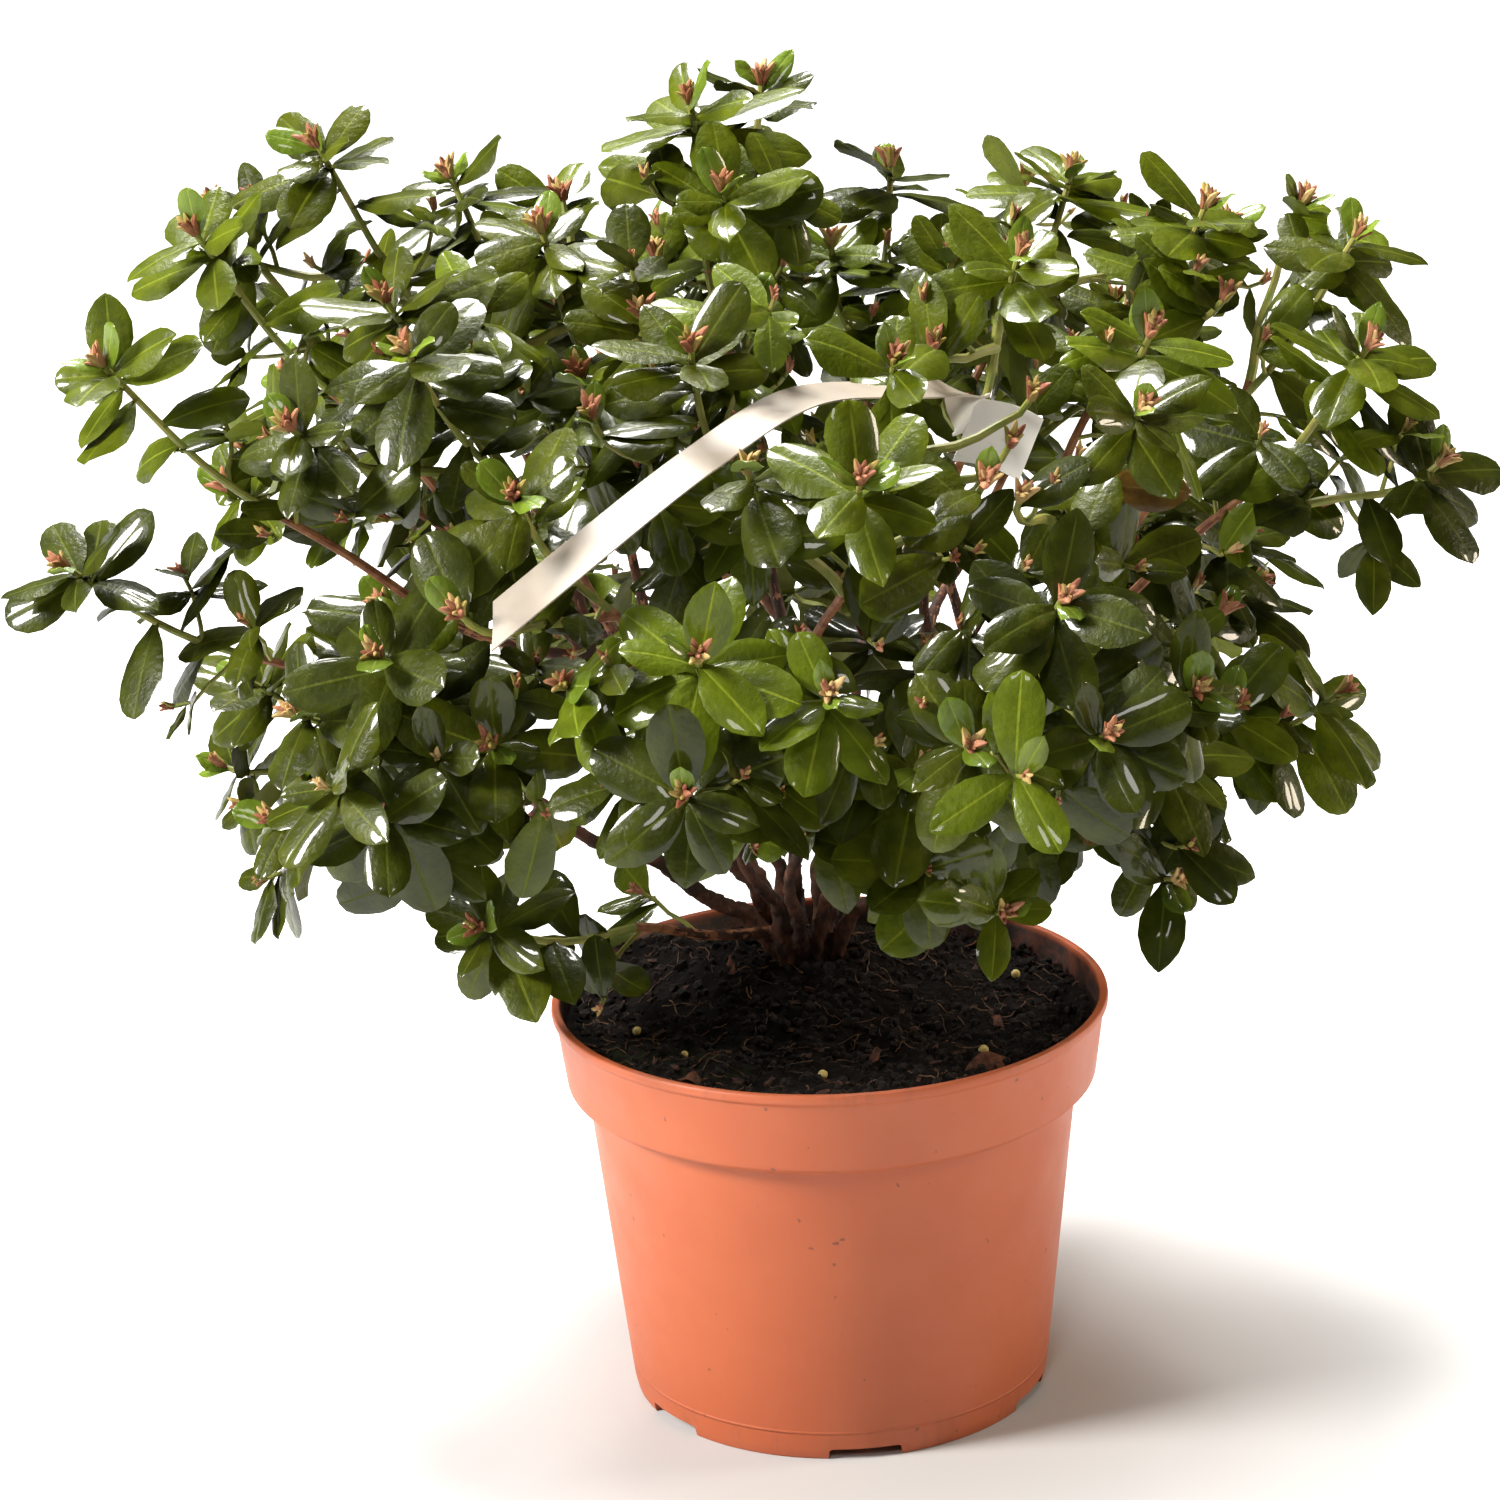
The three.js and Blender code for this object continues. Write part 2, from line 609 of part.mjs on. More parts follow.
function massSolid(index) {
  const { stem, sides } = growth[index];
  const random = seeded(SEED * 7 + index * 13);
  const twigs = sides.map((shoot) => limbSolid(shoot, TIP_RADIUS, TIP_RADIUS, 3, 2));
  let grown = fused([limbSolid(stem, STEM_RADIUS, TIP_RADIUS, 3, 6), ...twigs]);
  for (const shoot of [stem, ...sides]) {
    for (const place of leafPlaces(shoot, random)) {
      const leaf = leafFor(place, grown, index);
      if (leaf) grown = grown.add(leaf);
    }
  }
  const simpler = grown.asOriginal().simplify(SMOOTHING);
  return mainBody(solidOf(geometryOf(simpler))); // without leaves that hang on by a thread
}

// ---- Build ----
const group = new THREE.Group();
group.add(meshOf("pot", potSolid(), TERRACOTTA_PLASTIC));
group.add(meshOf("root_ball", soilSolid(), PEAT));
group.add(meshOf("trunk", trunkSolid(), BARK));
BOUGHS.forEach((row, index) => {
  group.add(meshOf("bough_" + row[0], boughSolid(row, index), BARK));
});

// Every leading stem is grown first, then the side shoots, then the leaves, so that each keeps clear of the last.
const growth = MASSES.map((row, index) => {
  const random = seeded(SEED + 100 + index);
  const siblings = MASSES.filter((other) => other[1] === row[1]);
  const fork = boughTips[row[1]].point;
  const mean = siblings
    .map(([, , azimuth, reach, height]) =>
      FORK.clone().add(polar(azimuth, reach, height)).sub(fork).normalize(),
    )
    .reduce((sum, direction) => sum.add(direction), new THREE.Vector3())
    .normalize();
  const stem = stemCurve(row, mean, random);
  recordLimb(row[0], stem, STEM_RADIUS);
  return { stem, random };
});
group.add(meshOf("label", labelSolid(), LABEL_PLASTIC));
growth.forEach((mass, index) => {
  mass.sides = sideShoots(index, mass.stem, mass.random);
});
MASSES.forEach(([name], index) => {
  group.add(meshOf("foliage_" + name, massSolid(index), FOLIAGE));
});

export default group;
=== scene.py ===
"""An evergreen azalea in a plastic nursery pot, dressed round its solids.

Sizes are in millimetres, as the plant is planned, and become metres where a mesh is made. The limbs and
shoots grow by the same seeded rule as the solids do, and carry on to finer twigs and more leaves.
"""
import math
from collections import namedtuple

import bpy
import numpy as np
from mathutils import Matrix, Vector, noise
from mathutils.bvhtree import BVHTree
from mathutils.kdtree import KDTree


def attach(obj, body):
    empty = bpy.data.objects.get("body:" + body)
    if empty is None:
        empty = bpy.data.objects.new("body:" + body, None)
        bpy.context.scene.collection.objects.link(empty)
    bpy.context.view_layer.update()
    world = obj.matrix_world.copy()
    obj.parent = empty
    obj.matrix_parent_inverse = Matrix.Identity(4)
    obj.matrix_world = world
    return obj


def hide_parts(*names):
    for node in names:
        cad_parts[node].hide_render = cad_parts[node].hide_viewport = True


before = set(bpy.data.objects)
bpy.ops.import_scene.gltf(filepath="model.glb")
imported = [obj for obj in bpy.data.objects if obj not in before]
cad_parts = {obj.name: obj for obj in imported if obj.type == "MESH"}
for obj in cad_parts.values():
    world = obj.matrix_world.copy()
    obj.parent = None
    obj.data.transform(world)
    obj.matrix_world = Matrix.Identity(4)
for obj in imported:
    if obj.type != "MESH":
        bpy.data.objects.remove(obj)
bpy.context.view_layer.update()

MM = 0.001
SEED = 41
GAP = 0.3  # left between a limb and what it grows on

# ---- Pot and root ball ----
POT_HEIGHT = 126
RIM_RADIUS = 85
BASE_RADIUS = 64.6
WALL = 1.4
COLLAR_RADIUS = 83.7
COLLAR_TAPER = 2.8
COLLAR_DEPTH = 25.8
COLLAR_OVERHANG = 6  # of the collar's foot past the wall's top
COLLAR_TOP = POT_HEIGHT - 3.5
FOOT_HEIGHT = 4
FOOT_WIDTH = 4.5
PAD_RADIUS = 20  # of the raised foot in the middle of the floor
FLOOR_TOP = 5.6
NOTCHES = 6
NOTCH_WIDTH = 22
FIRST_NOTCH = -85  # its azimuth
HOLE_RADIUS = 4
HOLE_RING = 47
POT_SIDES = 144
STEP_HEIGHT = POT_HEIGHT - COLLAR_DEPTH
COLLAR_FOOT = COLLAR_RADIUS - COLLAR_TAPER
WALL_TOP = COLLAR_FOOT - COLLAR_OVERHANG

SOIL_EDGE = 120
MOUND_HEIGHT = 11
MOUND_RADIUS = 46
SHRINK_AZIMUTH = 48  # where the dry peat has drawn back from the wall
SHRINK_DEPTH = 6
SOIL_GAP = 0.5  # between the peat and the wall
BANK = (-60, 34)  # middle of the place where the peat is heaped against the wall
BANK_HEIGHT = 7.5
BANK_RADIUS = 42
MOSS_PLACE = (-52, -46, 122)
SOIL_RINGS = 84
SOIL_SIDES = 264

# ---- Trunk, limbs and shoots, as the solids have them ----
TRUNK = np.array((-8.0, 20.0, SOIL_EDGE + MOUND_HEIGHT))
TRUNK_DOME = 12.5  # radius of the knuckle that the boughs leave
TRUNK_FLARE = 16  # radius of the flat cut on the soil
FORK = TRUNK + (0, 0, 7)
KNUCKLE = 4  # radius of the knuckle at a bough's tip
STEM_RADIUS = 1.7
STEM_SPREAD = 1.6  # how far the stems on one bough leave it apart
SWAY = 2.5  # how far a limb wanders off its curve
LIFT = 0.3  # how far a tip turns to the light
SHOOT_SPREAD = 38  # radius of the ring of tips round a mass's leading tip
SHOOT_DROP = 15  # of that ring below the leading tip
SHOOT_TRIES = 9
GOLDEN_ANGLE = 137.5
LIMB_CLEARANCE = 1.7
POT_CLEARANCE = 2.5
LIMB_SAMPLES = 40  # points along a limb that others keep clear of
UP = np.array((0.0, 0.0, 1.0))
LIGHT = np.array((-0.1, -0.6, 0.8)) / math.sqrt(1.01)  # the way to the light, one long

# Its reach and height are from the fork, its radius at the trunk, and its slope where it leaves the trunk
Bough = namedtuple("Bough", "name azimuth reach height radius slope")
# A mass of shoots on one bough. Its azimuth, reach and height are those of its leading tip
Mass = namedtuple("Mass", "name bough azimuth reach height shoots")
BOUGHS = [
    Bough("left_low", 204, 83, 56, 2.9, 30),
    Bough("left_high", 184, 60, 92, 2.4, 51),
    Bough("front_left", 240, 66, 78, 2.3, 46),
    Bough("front", 268, 60, 66, 2.3, 32),
    Bough("front_right", 300, 62, 80, 2.3, 46),
    Bough("right_low", 335, 70, 54, 2.6, 28),
    Bough("right_high", 352, 58, 88, 2.4, 53),
    Bough("core_left", 205, 20, 106, 2.2, 75),
    Bough("core_right", 330, 24, 98, 2.2, 75),
    Bough("rear_left", 137, 60, 80, 2.3, 44),
    Bough("rear", 92, 54, 84, 2.3, 50),
    Bough("rear_right", 44, 60, 80, 2.3, 44),
]
MASSES = [
    Mass("left_reach", "left_low", 193, 214, 138, 1),
    Mass("left_skirt", "left_low", 218, 168, 85, 3),
    Mass("left_middle", "left_low", 180, 165, 88, 3),
    Mass("left_crest", "left_high", 172, 136, 246, 2),
    Mass("left_shoulder", "left_high", 187, 169, 229, 2),
    Mass("left_tip", "left_high", 192, 199, 196, 1),
    Mass("front_left_crest", "front_left", 232, 164, 217, 3),
    Mass("front_left_face", "front_left", 246, 178, 184, 3),
    Mass("front_left_skirt", "front_left", 233, 186, 138, 4),
    Mass("front_crest", "front", 276, 171, 187, 3),
    Mass("front_face", "front", 262, 187, 145, 4),
    Mass("front_skirt", "front", 284, 138, 96, 4),
    Mass("front_right_crest", "front_right", 304, 168, 196, 3),
    Mass("front_right_face", "front_right", 291, 193, 156, 4),
    Mass("right_skirt", "right_low", 315, 150, 90, 4),
    Mass("right_reach", "right_low", 349, 164, 80, 2),
    Mass("right_middle", "right_low", 8, 140, 116, 4),
    Mass("right_crest", "right_high", 1, 126, 221, 3),
    Mass("right_shoulder", "right_high", 357, 169, 213, 2),
    Mass("right_tip", "right_high", 340, 176, 192, 2),
    Mass("top_leader", "core_left", 178, 24, 258, 3),
    Mass("top_left", "core_left", 204, 74, 228, 4),
    Mass("top_front", "core_left", 257, 113, 210, 4),
    Mass("top_right", "right_high", 324, 84, 220, 3),
    Mass("top_front_right", "core_right", 285, 114, 204, 3),
    Mass("top_back", "core_right", 59, 70, 226, 3),
    Mass("rear_left_crest", "rear_left", 145, 121, 226, 3),
    Mass("rear_left_face", "rear_left", 150, 178, 160, 3),
    Mass("rear_left_skirt", "rear_left", 124, 168, 100, 3),
    Mass("rear_crest", "rear", 98, 88, 210, 3),
    Mass("rear_face", "rear", 100, 170, 172, 3),
    Mass("rear_skirt", "rear", 80, 168, 104, 3),
    Mass("rear_right_crest", "rear_right", 44, 130, 216, 3),
    Mass("rear_right_face", "rear_right", 52, 180, 162, 3),
    Mass("rear_right_skirt", "rear_right", 28, 168, 104, 3),
    Mass("low_shoot", "trunk", 222, 125, 36, 1),
]
FOLIAGE_NODES = ["foliage_" + mass.name for mass in MASSES]
BOUGH_NODES = ["bough_" + bough.name for bough in BOUGHS]

# An opening among the leaves: where it starts and ends, and its radius
OPENINGS = [
    ((-50, -22, 168), (-60, -120, 203), 15),
    ((-72, -30, 190), (-80, -110, 216), 10),
    ((-45, -50, 138), (-80, -90, 138), 11),
    ((54, -32, 308), (52, -112, 333), 17),
    ((44, -22, 312), (-4, -38, 338), 10),
    ((20, -98, 160), (52, -122, 160), 14),
    ((-58, -30, 130), (-95, -60, 130), 10),
    ((74, -84, 166), (104, -88, 168), 13),
    ((130, -4, 178), (130, 14, 180), 12),
]

# ---- Leaves and twigs, at about life size ----
LEAF_LENGTH = 26.5
LEAF_WIDTH = 15.4
LEAF_BODY = 0.5  # thickness of a blade at its midrib
TWIG_SPACING = 12  # between the fine twigs along a shoot
TWIG_LENGTH = 24
TWIG_RADIUS = 0.75
LEAF_SPACING = 8.5  # between the single leaves down a shoot
LEAFY_SHARE = 0.66  # of a shoot's length, from its tip
LEAF_TRIES = (1.0, 0.86, 0.72)  # the largest of these sizes that fits its place is grown
FACE_LIGHT = 0.9  # how far a leaf turns its face from its shoot's axis to the light
TURN_LIGHT = 0.24  # how far a shoot's whorls turn to the light
ROLL = 24  # how far in degrees a leaf's face turns to either side
VEIN_LEAN = 0.09  # how far forward a side vein runs, as a share of the leaf's length
VEIN_RIDGE = 0.44  # height of the skin between two side veins, as a share of the blade's thickness
BUD_LENGTH = 7.2
LEADER_SIZE = 1.2  # of the leader's leaves, as a share of the other leaves
SINGLE_SIZE = 0.84  # of the smallest single leaf
DRY_SIZE = 0.65
DRY_CHANCE = 0.004
POINTED_CHANCE = 0.4
TEST_ROWS = 7  # of the points on a leaf that are tested against what it may not touch
TEST_COLUMNS = 5


# ---- Directions, places and seeded chance ----
def unit(vector):
    return vector / np.linalg.norm(vector)


def polar(azimuth, reach, height):
    angle = math.radians(azimuth)
    return np.array((reach * math.cos(angle), reach * math.sin(angle), height))


def across_of(axis):
    """Two directions square to an axis and to each other."""
    side = unit(np.cross(UP, axis))
    return side, np.cross(axis, side)


def growing_direction(point):
    """Shoots point away from the fork and turn a little to the light."""
    return unit(unit(point - FORK) + LIFT * LIGHT)


def turned_about(vector, axis, angle):
    """A vector turned about an axis, by an angle in degrees."""
    turn = math.radians(angle)
    return (
        vector * math.cos(turn)
        + np.cross(axis, vector) * math.sin(turn)
        + axis * np.dot(axis, vector) * (1 - math.cos(turn))
    )


def smoothstep(value, low, high):
    share = np.clip((value - low) / (high - low), 0, 1)
    return share * share * (3 - 2 * share)


def seeded(seed):
    """A source of chance between 0 and 1 that always runs the same way."""
    state = seed % 2**32

    def draw():
        nonlocal state
        state = (state * 1664525 + 1013904223) % 2**32
        return state / 2**32

    return draw


def relief(place, size, depth=1.0, octaves=3):
    """Smooth bumps, up to depth high and about size across."""
    return depth * noise.fractal(Vector(place) / size, 1.0, 2.0, octaves)


# ---- Materials ----
def paint(code):
    """A colour from its hexadecimal code, made linear for the shader."""
    channels = [int(code[i : i + 2], 16) / 255 for i in (0, 2, 4)]
    linear = [c / 12.92 if c <= 0.04045 else ((c + 0.055) / 1.055) ** 2.4 for c in channels]
    return (*linear, 1.0)


class Value:
    """A node's output. Arithmetic on it adds Math nodes."""

    def __init__(self, finish, socket):
        self.finish = finish
        self.socket = socket

    def _math(self, operation, first, second):
        return self.finish.node("Math", {"operation": operation}, {0: first, 1: second})

    def __add__(self, other):
        return self._math("ADD", self, other)

    def __sub__(self, other):
        return self._math("SUBTRACT", self, other)

    def __mul__(self, other):
        return self._math("MULTIPLY", self, other)

    def __rsub__(self, other):
        return self._math("SUBTRACT", other, self)

    __radd__ = __add__
    __rmul__ = __mul__

    def between(self, low, high):
        """0 below low, 1 above high, and smooth in between."""
        return self.finish.node(
            "MapRange",
            {"interpolation_type": "SMOOTHSTEP"},
            {"Value": self, "From Min": low, "From Max": high},
        )


class Finish:
    """A material and its nodes."""

    def __init__(self, name):
        self.material = bpy.data.materials.new(name)
        self.material.use_nodes = True
        self.tree = self.material.node_tree
        self.shader = self.tree.nodes["Principled BSDF"]

    def node(self, kind, settings, sockets, output=0):
        made = self.tree.nodes.new("ShaderNode" + kind)
        for name, value in settings.items():
            setattr(made, name, value)
        for name, value in sockets.items():
            self.feed(made.inputs[name], value)
        return Value(self, made.outputs[output])

    def feed(self, socket, value):
        if isinstance(value, Value):
            self.tree.links.new(value.socket, socket)
        else:
            socket.default_value = value

    def place(self, stretch=(1, 1, 1)):
        """Where a point is on the object, in metres, stretched to draw a pattern out."""
        here = self.node("TexCoord", {}, {}, "Object")
        if stretch == (1, 1, 1):
            return here
        return self.node("Mapping", {}, {"Vector": here, "Scale": stretch})

    def along(self, axis):
        """How far along X, Y or Z a point is, in metres."""
        return self.node("SeparateXYZ", {}, {"Vector": self.place()}, axis)

    def distance(self, point=(0, 0, 0), stretch=(1, 1, 1)):
        """How far in metres a point is from one that is given in millimetres."""
        sockets = {0: self.place(stretch), 1: [c * MM for c in point]}
        return self.node("VectorMath", {"operation": "DISTANCE"}, sockets, "Value")

    def cloud(self, size, detail=3.0, roughness=0.55, stretch=(1, 1, 1)):
        """A soft random pattern whose marks are about size millimetres across."""
        sockets = {
            "Vector": self.place(stretch),
            "Scale": 1 / (size * MM),
            "Detail": detail,
            "Roughness": roughness,
        }
        return self.node("TexNoise", {}, sockets, "Fac")

    def blend(self, share, first, second):
        return self.node("Mix", {"data_type": "RGBA"}, {0: share, 6: first, 7: second}, 2)

    def mottled(self, dark, light, size, detail, roughness=0.55, spread=0.2):
        """Two near colours in soft patches about size millimetres across."""
        patches = self.cloud(size, detail, roughness).between(0.5 - spread, 0.5 + spread)
        return self.blend(patches, paint(dark), paint(light))

    def bump(self, height, depth, strength=1.0, normal=None):
        """A surface raised by up to depth millimetres."""
        sockets = {"Height": height, "Distance": depth * MM, "Strength": strength}
        if normal is not None:
            sockets["Normal"] = normal
        return self.node("Bump", {}, sockets)

    def set(self, **values):
        for name, value in values.items():
            self.feed(self.shader.inputs[name.replace("_", " ")], value)
        return self.material


def plastic_pot_finish():
    """Satin terracotta-coloured plastic: faint marks, dirt at its foot and rim, and painted shade inside, a
    nearly black band on the inner wall above the peat.
    """
    finish = Finish("terracotta_plastic")
    colour = finish.mottled("ab5026", "b0562b", 38, 2, spread=0.3)
    height = finish.along("Z")
    foot = 1 - height.between(0.001, 0.016)
    rim = height.between(0.119, 0.1255)
    streaks = finish.cloud(9, 5, 0.65, (1, 1, 0.25)).between(0.5, 0.72)
    dirt = (foot + rim * 0.8) * streaks * 0.55
    colour = finish.blend(dirt, colour, paint("8a4a2c"))
    radius = finish.distance(stretch=(1, 1, 0))
    lean = COLLAR_TAPER / (COLLAR_TOP - STEP_HEIGHT)
    wall_middle = height * lean + (COLLAR_FOOT - WALL / 2 - STEP_HEIGHT * lean) * MM
    # Painted shade: the inner wall above the peat is coloured nearly black, with slight patches, for the
    # shade under the crown.
    inside = (wall_middle - radius).between(0, 0.0004) * height.between(0.109, 0.113)
    inner_wall_shade = inside * (0.82 + 0.18 * finish.cloud(5, 4, 0.65).between(0.35, 0.6))
    colour = finish.blend(inner_wall_shade * (1 - height.between(0.1235, 0.1262)), colour, paint("21110b"))
    specks = finish.cloud(1.6, 2).between(0.7, 0.76)
    colour = finish.blend(specks * 0.35, colour, paint("a9583a"))
    marks = finish.cloud(3.2, 1).between(0.76, 0.79)
    colour = finish.blend(marks * 0.7, colour, paint("5c2c18"))
    grain = finish.bump(finish.cloud(0.9, 2), 0.05, 0.35)
    seam = height.between(0.0084, 0.009) * (1 - height.between(0.0092, 0.0098))
    seamed = finish.bump(seam, 0.3, 0.8, grain)
    waviness = finish.bump(finish.cloud(24, 1), 0.5, 0.25, seamed)
    roughness = finish.cloud(16, 4).between(0.3, 0.7) * 0.1 + 0.5
    return finish.set(
        Base_Color=colour, Roughness=roughness + dirt * 0.3, Normal=waviness, Specular_IOR_Level=0.7
    )


def peat_finish():
    """Peat coloured nearly black, dark peat with painted shade of the crown, with brown flecks, rough crumbs
    and a patch of moss.
    """
    finish = Finish("peat")
    # Partly painted shade: the peat's own dark brown is taken down to nearly black, as the shade under the
    # crown.
    colour = finish.mottled("050302", "120b07", 5, 6, 0.7)
    flecks = finish.cloud(2.2, 3, 0.6).between(0.64, 0.72)
    colour = finish.blend(flecks * 0.6, colour, paint("3c2618"))
    patch = 1 - finish.distance(MOSS_PLACE).between(0.012, 0.034)
    moss = patch * finish.cloud(7, 5, 0.7).between(0.42, 0.6)
    colour = finish.blend(moss * 0.6, colour, paint("252c10"))
    crumbs = finish.bump(finish.cloud(1.1, 5, 0.7), 0.7, 0.8)
    lumps = finish.bump(finish.cloud(4, 3), 1.5, 0.6, crumbs)
    return finish.set(Base_Color=colour, Roughness=0.93, Normal=lumps, Specular_IOR_Level=0.12)


def speckled_finish(name, dark, light, size, roughness, depth=0.2):
    """A plain natural surface of two tones."""
    finish = Finish(name)
    colour = finish.mottled(dark, light, size, 4, 0.6)
    bumps = finish.bump(finish.cloud(0.6 * size, 3), depth, 0.7)
    return finish.set(Base_Color=colour, Roughness=roughness, Normal=bumps, Specular_IOR_Level=0.3)


def bark_finish():
    """Reddish brown bark, darkened in part as painted shade of the crown, that flakes in thin strips over a
    paler skin.
    """
    finish = Finish("bark")
    # Partly painted shade: the bark's base colours are taken darker, as the shade inside the crown.
    colour = finish.mottled("2b1a11", "563321", 9, 4, 0.6, spread=0.15)
    flakes = finish.cloud(2.6, 5, 0.7, (1, 1, 0.45)).between(0.48, 0.62)
    colour = finish.blend(flakes * 0.6, colour, paint("24150e"))
    pale = finish.cloud(3.4, 4, 0.6, (1, 1, 0.5)).between(0.62, 0.72)
    colour = finish.blend(pale * 0.4, colour, paint("8f6a4c"))
    fibres = finish.bump(finish.cloud(0.8, 4, 0.7, (1, 1, 0.4)), 0.35, 0.8)
    return finish.set(Base_Color=colour, Roughness=0.72, Normal=fibres, Specular_IOR_Level=0.3)


def leaf_finish(name, dark, light, roughness, coat=0.0):
    """A leaf's or bud's skin: two near colours in soft patches, finely puckered, bare or under a coat."""
    finish = Finish(name)
    colour = finish.mottled(dark, light, 11, 3, spread=0.15)
    skin = finish.bump(finish.cloud(2.2, 3), 0.5, 0.8)
    gloss = finish.cloud(6, 3).between(0.3, 0.7) * 0.1 + roughness
    return finish.set(
        Base_Color=colour,
        Roughness=gloss,
        Normal=skin,
        Specular_IOR_Level=0.12,
        Coat_Weight=coat,
        Coat_Roughness=0.06,
    )


def label_finish():
    """White plastic with painted light and shade: the head is painted brighter than the strap, and the strap
    painted duller and warmer.
    """
    finish = Finish("label_plastic")
    colour = finish.mottled("a3988a", "aea395", 14, 3)
    # Painted light: the head is coloured a brighter white than the strap, to light it where it lies in
    # shade.
    head = 1 - finish.distance(LABEL_HEAD_PLACE).between(0.0145, 0.018)
    colour = finish.blend(0.9 * head, colour, paint("f2eee8"))
    smudges = finish.cloud(5, 4, 0.65).between(0.6, 0.75)
    colour = finish.blend(smudges * 0.25, colour, paint("a39584"))
    skin = finish.bump(finish.cloud(2, 2), 0.05, 0.4)
    return finish.set(Base_Color=colour, Roughness=0.45, Normal=skin, Specular_IOR_Level=0.35)


# ---- Modelling ----
def deselect_all():
    for each in bpy.context.selected_objects:
        each.select_set(False)


def edit(action):
    """Runs one step in edit mode on the active object."""
    bpy.ops.object.mode_set(mode="EDIT")
    action()
    bpy.ops.object.mode_set(mode="OBJECT")


def named(name, *materials):
    """The object just added, with its name and materials, and its place put in its mesh."""
    piece = bpy.context.active_object
    piece.name = name
    piece.data.name = name
    bpy.ops.object.transform_apply(location=True, rotation=True, scale=True)
    for material in materials:
        piece.data.materials.append(material)
    return piece


def use(piece):
    deselect_all()
    piece.select_set(True)
    bpy.context.view_layer.objects.active = piece


def finished_with(piece, kind, **settings):
    """Adds a modifier and applies it."""
    use(piece)
    modifier = piece.modifiers.new(kind.lower(), kind)
    for name, value in settings.items():
        setattr(modifier, name, value)
    bpy.ops.object.modifier_apply(modifier=modifier.name)
    return piece


def fused(piece, *others):
    """Other objects joined into a piece."""
    use(piece)
    for other in others:
        other.select_set(True)
    bpy.ops.object.join()
    return bpy.context.active_object


def smooth(piece, angle=40):
    use(piece)
    bpy.ops.object.shade_smooth_by_angle(angle=math.radians(angle))
    return piece


def places_of(piece):
    """The places of a mesh's vertices, in millimetres."""
    flat = np.empty(3 * len(piece.data.vertices))
    piece.data.vertices.foreach_get("co", flat)
    return flat.reshape(-1, 3) / MM


def move_to(piece, places):
    piece.data.vertices.foreach_set("co", (np.asarray(places) * MM).ravel())
    piece.data.update()


def turned(name, profile, sides, *materials):
    """A closed round body, extruded ring by ring from a profile of radius and height pairs."""
    deselect_all()
    (radius, height), *rest = [(r * MM, z * MM) for r, z in profile]
    bpy.ops.mesh.primitive_circle_add(vertices=sides, radius=radius, location=(0, 0, height))
    body = named(name, *materials)
    bpy.ops.object.mode_set(mode="EDIT")
    bpy.ops.mesh.select_all(action="SELECT")
    for next_radius, next_height in rest:
        bpy.ops.mesh.extrude_region_move(
            TRANSFORM_OT_translate={"value": (0, 0, next_height - height)}
        )
        ratio = next_radius / radius
        bpy.ops.transform.resize(value=(ratio, ratio, 1), center_override=(0, 0, next_height))
        radius, height = next_radius, next_height
    bpy.ops.mesh.edge_face_add()
    bpy.ops.mesh.select_all(action="DESELECT")
    bpy.ops.mesh.select_non_manifold()
    bpy.ops.mesh.edge_face_add()
    bpy.ops.mesh.select_all(action="SELECT")
    bpy.ops.mesh.normals_make_consistent(inside=False)
    bpy.ops.object.mode_set(mode="OBJECT")
    return body


class Copies:
    """Many copies of small models, gathered into one mesh."""

    def __init__(self):
        self.places = []
        self.loops = []
        self.totals = []
        self.slots = []
        self.count = 0

    def add(self, places, model):
        loops, totals, slots = model
        self.places.append(places)
        self.loops.append(loops + self.count)
        self.totals.append(totals)
        self.slots.append(slots)
        self.count += len(places)

    def joined(self, name, *materials, angle=40):
        """All the copies as one object, smooth but for edges sharper than the angle."""
        mesh = bpy.data.meshes.new(name)
        places = np.concatenate(self.places) * MM
        loops = np.concatenate(self.loops)
        totals = np.concatenate(self.totals)
        mesh.vertices.add(len(places))
        mesh.vertices.foreach_set("co", places.ravel())
        mesh.loops.add(len(loops))
        mesh.loops.foreach_set("vertex_index", loops.astype(np.int32))
        mesh.polygons.add(len(totals))
        starts = np.concatenate(([0], np.cumsum(totals)[:-1]))
        mesh.polygons.foreach_set("loop_start", starts.astype(np.int32))
        mesh.polygons.foreach_set("material_index", np.concatenate(self.slots).astype(np.int32))
        mesh.update(calc_edges=True)
        mesh.validate()
        for material in materials:
            mesh.materials.append(material)
        piece = bpy.data.objects.new(name, mesh)
        bpy.context.scene.collection.objects.link(piece)
        return smooth(piece, angle)


def model_of(piece):
    """A small model's places and faces, to be copied. The model itself is removed."""
    mesh = piece.data
    loops = np.array([index for face in mesh.polygons for index in face.vertices])
    totals = np.array([len(face.vertices) for face in mesh.polygons])
    slots = np.array([face.material_index for face in mesh.polygons])
    places = places_of(piece)
    bpy.data.objects.remove(piece)
    return places, (loops, totals, slots)


def dressed(piece, slot, *nodes):
    """A finished piece rides on the body and stands for its nodes, which it hides. Its slot is not used."""
    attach(piece, "root")
    if nodes:
        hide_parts(*nodes)
    return piece


